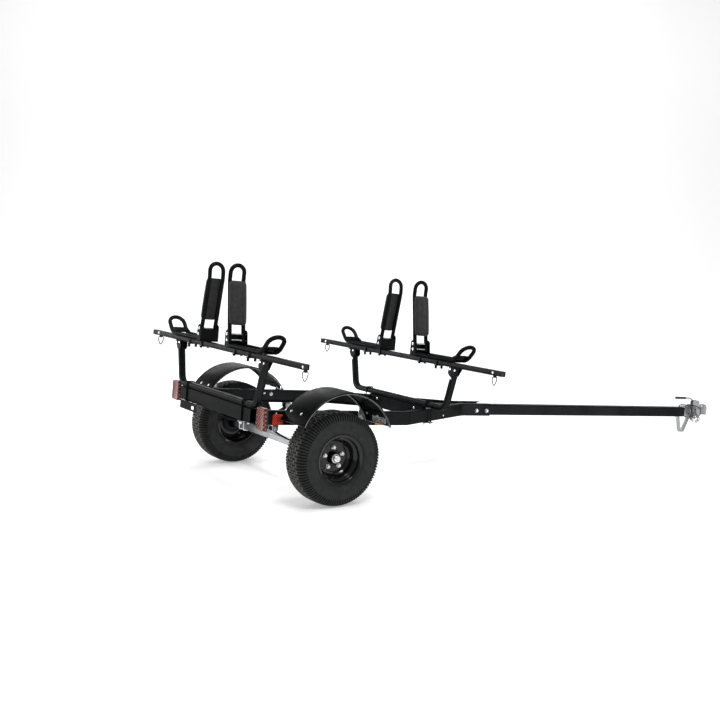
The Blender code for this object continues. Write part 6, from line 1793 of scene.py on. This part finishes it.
for side_name, side in SIDES:
    for make in (
        make_tyre, make_rim, make_hub, make_fender_sheet, make_fender_braces, make_fender_bolts,
        make_leaf_spring, make_axle_clamp, make_tail_lamp, make_side_markers, make_lamp_nuts,
    ):
        make(side_name, side)
    make_ubolt("rear", REAR_X, side_name, side, 0.373, 0.422 - GAP)
    make_ubolt("front", FRONT_X, side_name, side, 0.333, RAIL_BOTTOM - GAP)
    for end_name, end in (("rear", -1), ("front", 1)):
        make_hanger(end_name, end, side_name, side)
for end_name, x in ENDS:
    for make in (make_load_bar, make_bar_ends, make_support, make_seats):
        make(end_name, x)
    for side_name, side in SIDES:
        make_cradle(end_name, x, side_name, side)
for make in (
    make_tongue_bolts, make_coupler, make_latch_box, make_lever, make_stand, make_chain,
    make_wiring, make_rail_bolts, make_plate_bracket,
):
    make()


def dress_frame_nodes():
    """Gives the CAD nodes that stay in view their finishes and slightly broken edges."""
    record_slots = {s["node"]: s["material_slot"] for s in frame["record"]["subparts"]}
    for name, node in frame["nodes"].items():
        material = CAD_FINISH.get(record_slots.get(name), FINISH["coat"][0].material)
        for slot in node.material_slots:
            slot.material = material
        if not node.hide_render:
            add_bevel(node, 0.0012)


dress_frame_nodes()


# Floor, light and camera

CAMERA_YAW, CAMERA_PITCH, CAMERA_ROLL = [math.radians(a) for a in (32.92, 3.80, 5.16)]
CAMERA_SPOT = (-3.0252, -5.4387, 1.2338)
PICTURE_WIDTH = 720.0
# In pixels: focal length and the shift of the picture's middle
FOCAL_LENGTH = 1046.0
SHIFT = (3.92, -9.35)
SENSOR_WIDTH = 36.0
FLOOR_COLOUR = (0.90, 0.90, 0.90)
FLOOR_BACK, FLOOR_FRONT, FLOOR_HALF = 14, -30, 34
FLOOR_DROP = 0.0005
SWEEP_RADIUS = 6
SWEEP_TOP = 26
# Strength of the surroundings for what they light, and as the camera sees them
WORLD_LIGHT, WORLD_SEEN = 0.34, 0.60
# Place, target, size and power in watts
LIGHTS = {
    "key": ((-2.6, -3.6, 5.2), (-0.6, -0.2, 0.4), (1.5, 1.1), 105),
    "top": ((-1.2, -0.6, 5.6), (0, -0.3, 0.4), (1.3, 3.0), 85),
    "side": ((4.8, -4.0, 2.6), (0.4, 0, 0.4), (0.9, 2.2), 50),
    "back": ((0.0, 5.3, 2.4), (0, 0.4, 0.6), (3.0, 1.3), 55),
    "rear": ((-4.2, 4.8, 1.5), (-0.4, 0, 0.5), (2.6, 2.2), 135),
}
FLOOR_WASHES = (((0, -3.0, 11.0), 160), ((6, 12.0, 11.0), 800), ((-8, 4.0, 11.0), 160))


def stage_material(name, colour):
    """Matt white sweep that is lit from below as well, so that it stays white in soft light."""
    n = Nodes(name, colour, 0.9, 0.0, Emission_Color=(1, 1, 1, 1), Emission_Strength=0.30)
    cloud = n.spread(n.noise(0.6, 2.0), 0.3, 0.7)
    n.colour(n.mix(cloud, tuple(c * 0.985 for c in colour), colour))
    return n.material


def make_stage():
    """Floor that curves up behind the trailer, square to the camera."""
    path = [(FLOOR_FRONT, 0), (FLOOR_BACK, 0)]
    path += arc_points((FLOOR_BACK, SWEEP_RADIUS), SWEEP_RADIUS, -81, 0, 9)
    path += [(FLOOR_BACK + SWEEP_RADIUS, SWEEP_TOP)]
    view = Matrix.Rotation(math.radians(90) - CAMERA_YAW, 4, "Z")
    bm = bmesh.new()
    rows = []
    for wide in (-FLOOR_HALF, FLOOR_HALF):
        rows.append([bm.verts.new(view @ Vector((a, wide, b - FLOOR_DROP))) for a, b in path])
    left, right = rows
    for i in range(len(path) - 1):
        bm.faces.new((left[i], left[i + 1], right[i + 1], right[i]))
    new_object(bm, "studio_floor", stage_material("studio_floor", FLOOR_COLOUR))


def area_light(name, spot, target, size, power):
    data = bpy.data.lights.new(name, "AREA")
    data.shape = "RECTANGLE"
    data.size, data.size_y = size
    data.energy = power
    light = bpy.data.objects.new(name, data)
    light.location = spot
    light.rotation_euler = (Vector(target) - Vector(spot)).to_track_quat("-Z", "Y").to_euler()
    light.visible_camera = False
    bpy.context.scene.collection.objects.link(light)


def make_light():
    world = bpy.data.worlds.new("studio")
    world.use_nodes = True
    tree = world.node_tree
    seen = tree.nodes.new("ShaderNodeMapRange")
    seen.inputs["To Min"].default_value = WORLD_LIGHT
    seen.inputs["To Max"].default_value = WORLD_SEEN
    ray = tree.nodes.new("ShaderNodeLightPath").outputs["Is Camera Ray"]
    tree.links.new(ray, seen.inputs["Value"])
    tree.nodes["Background"].inputs["Color"].default_value = (1, 1, 1, 1)
    tree.links.new(seen.outputs["Result"], tree.nodes["Background"].inputs["Strength"])
    bpy.context.scene.world = world
    for name, light in LIGHTS.items():
        area_light(name, *light)
    for spot, power in FLOOR_WASHES:
        area_light("floor_wash", spot, (spot[0], spot[1], 0), (9.0, 9.0), power)
    bpy.context.scene.view_settings.view_transform = "Standard"


def make_camera():
    level = math.cos(CAMERA_PITCH)
    across, along = math.sin(CAMERA_YAW) * level, math.cos(CAMERA_YAW) * level
    forward = Vector((across, along, -math.sin(CAMERA_PITCH)))
    right = forward.cross(UP).normalized()
    up = right.cross(forward)
    tipped_right = right * math.cos(CAMERA_ROLL) + up * math.sin(CAMERA_ROLL)
    tipped_up = up * math.cos(CAMERA_ROLL) - right * math.sin(CAMERA_ROLL)
    turn = Matrix((tipped_right, tipped_up, -forward)).transposed().to_4x4()
    data = bpy.data.cameras.new("camera")
    data.sensor_width = SENSOR_WIDTH
    data.lens = FOCAL_LENGTH / PICTURE_WIDTH * SENSOR_WIDTH
    data.shift_x, data.shift_y = [pixels / PICTURE_WIDTH for pixels in SHIFT]
    data.clip_end = 200.0
    camera = bpy.data.objects.new("camera", data)
    camera.matrix_world = LEVEL @ Matrix.Translation(CAMERA_SPOT) @ turn
    bpy.context.scene.collection.objects.link(camera)
    bpy.context.scene.camera = camera


make_stage()
make_light()
make_camera()
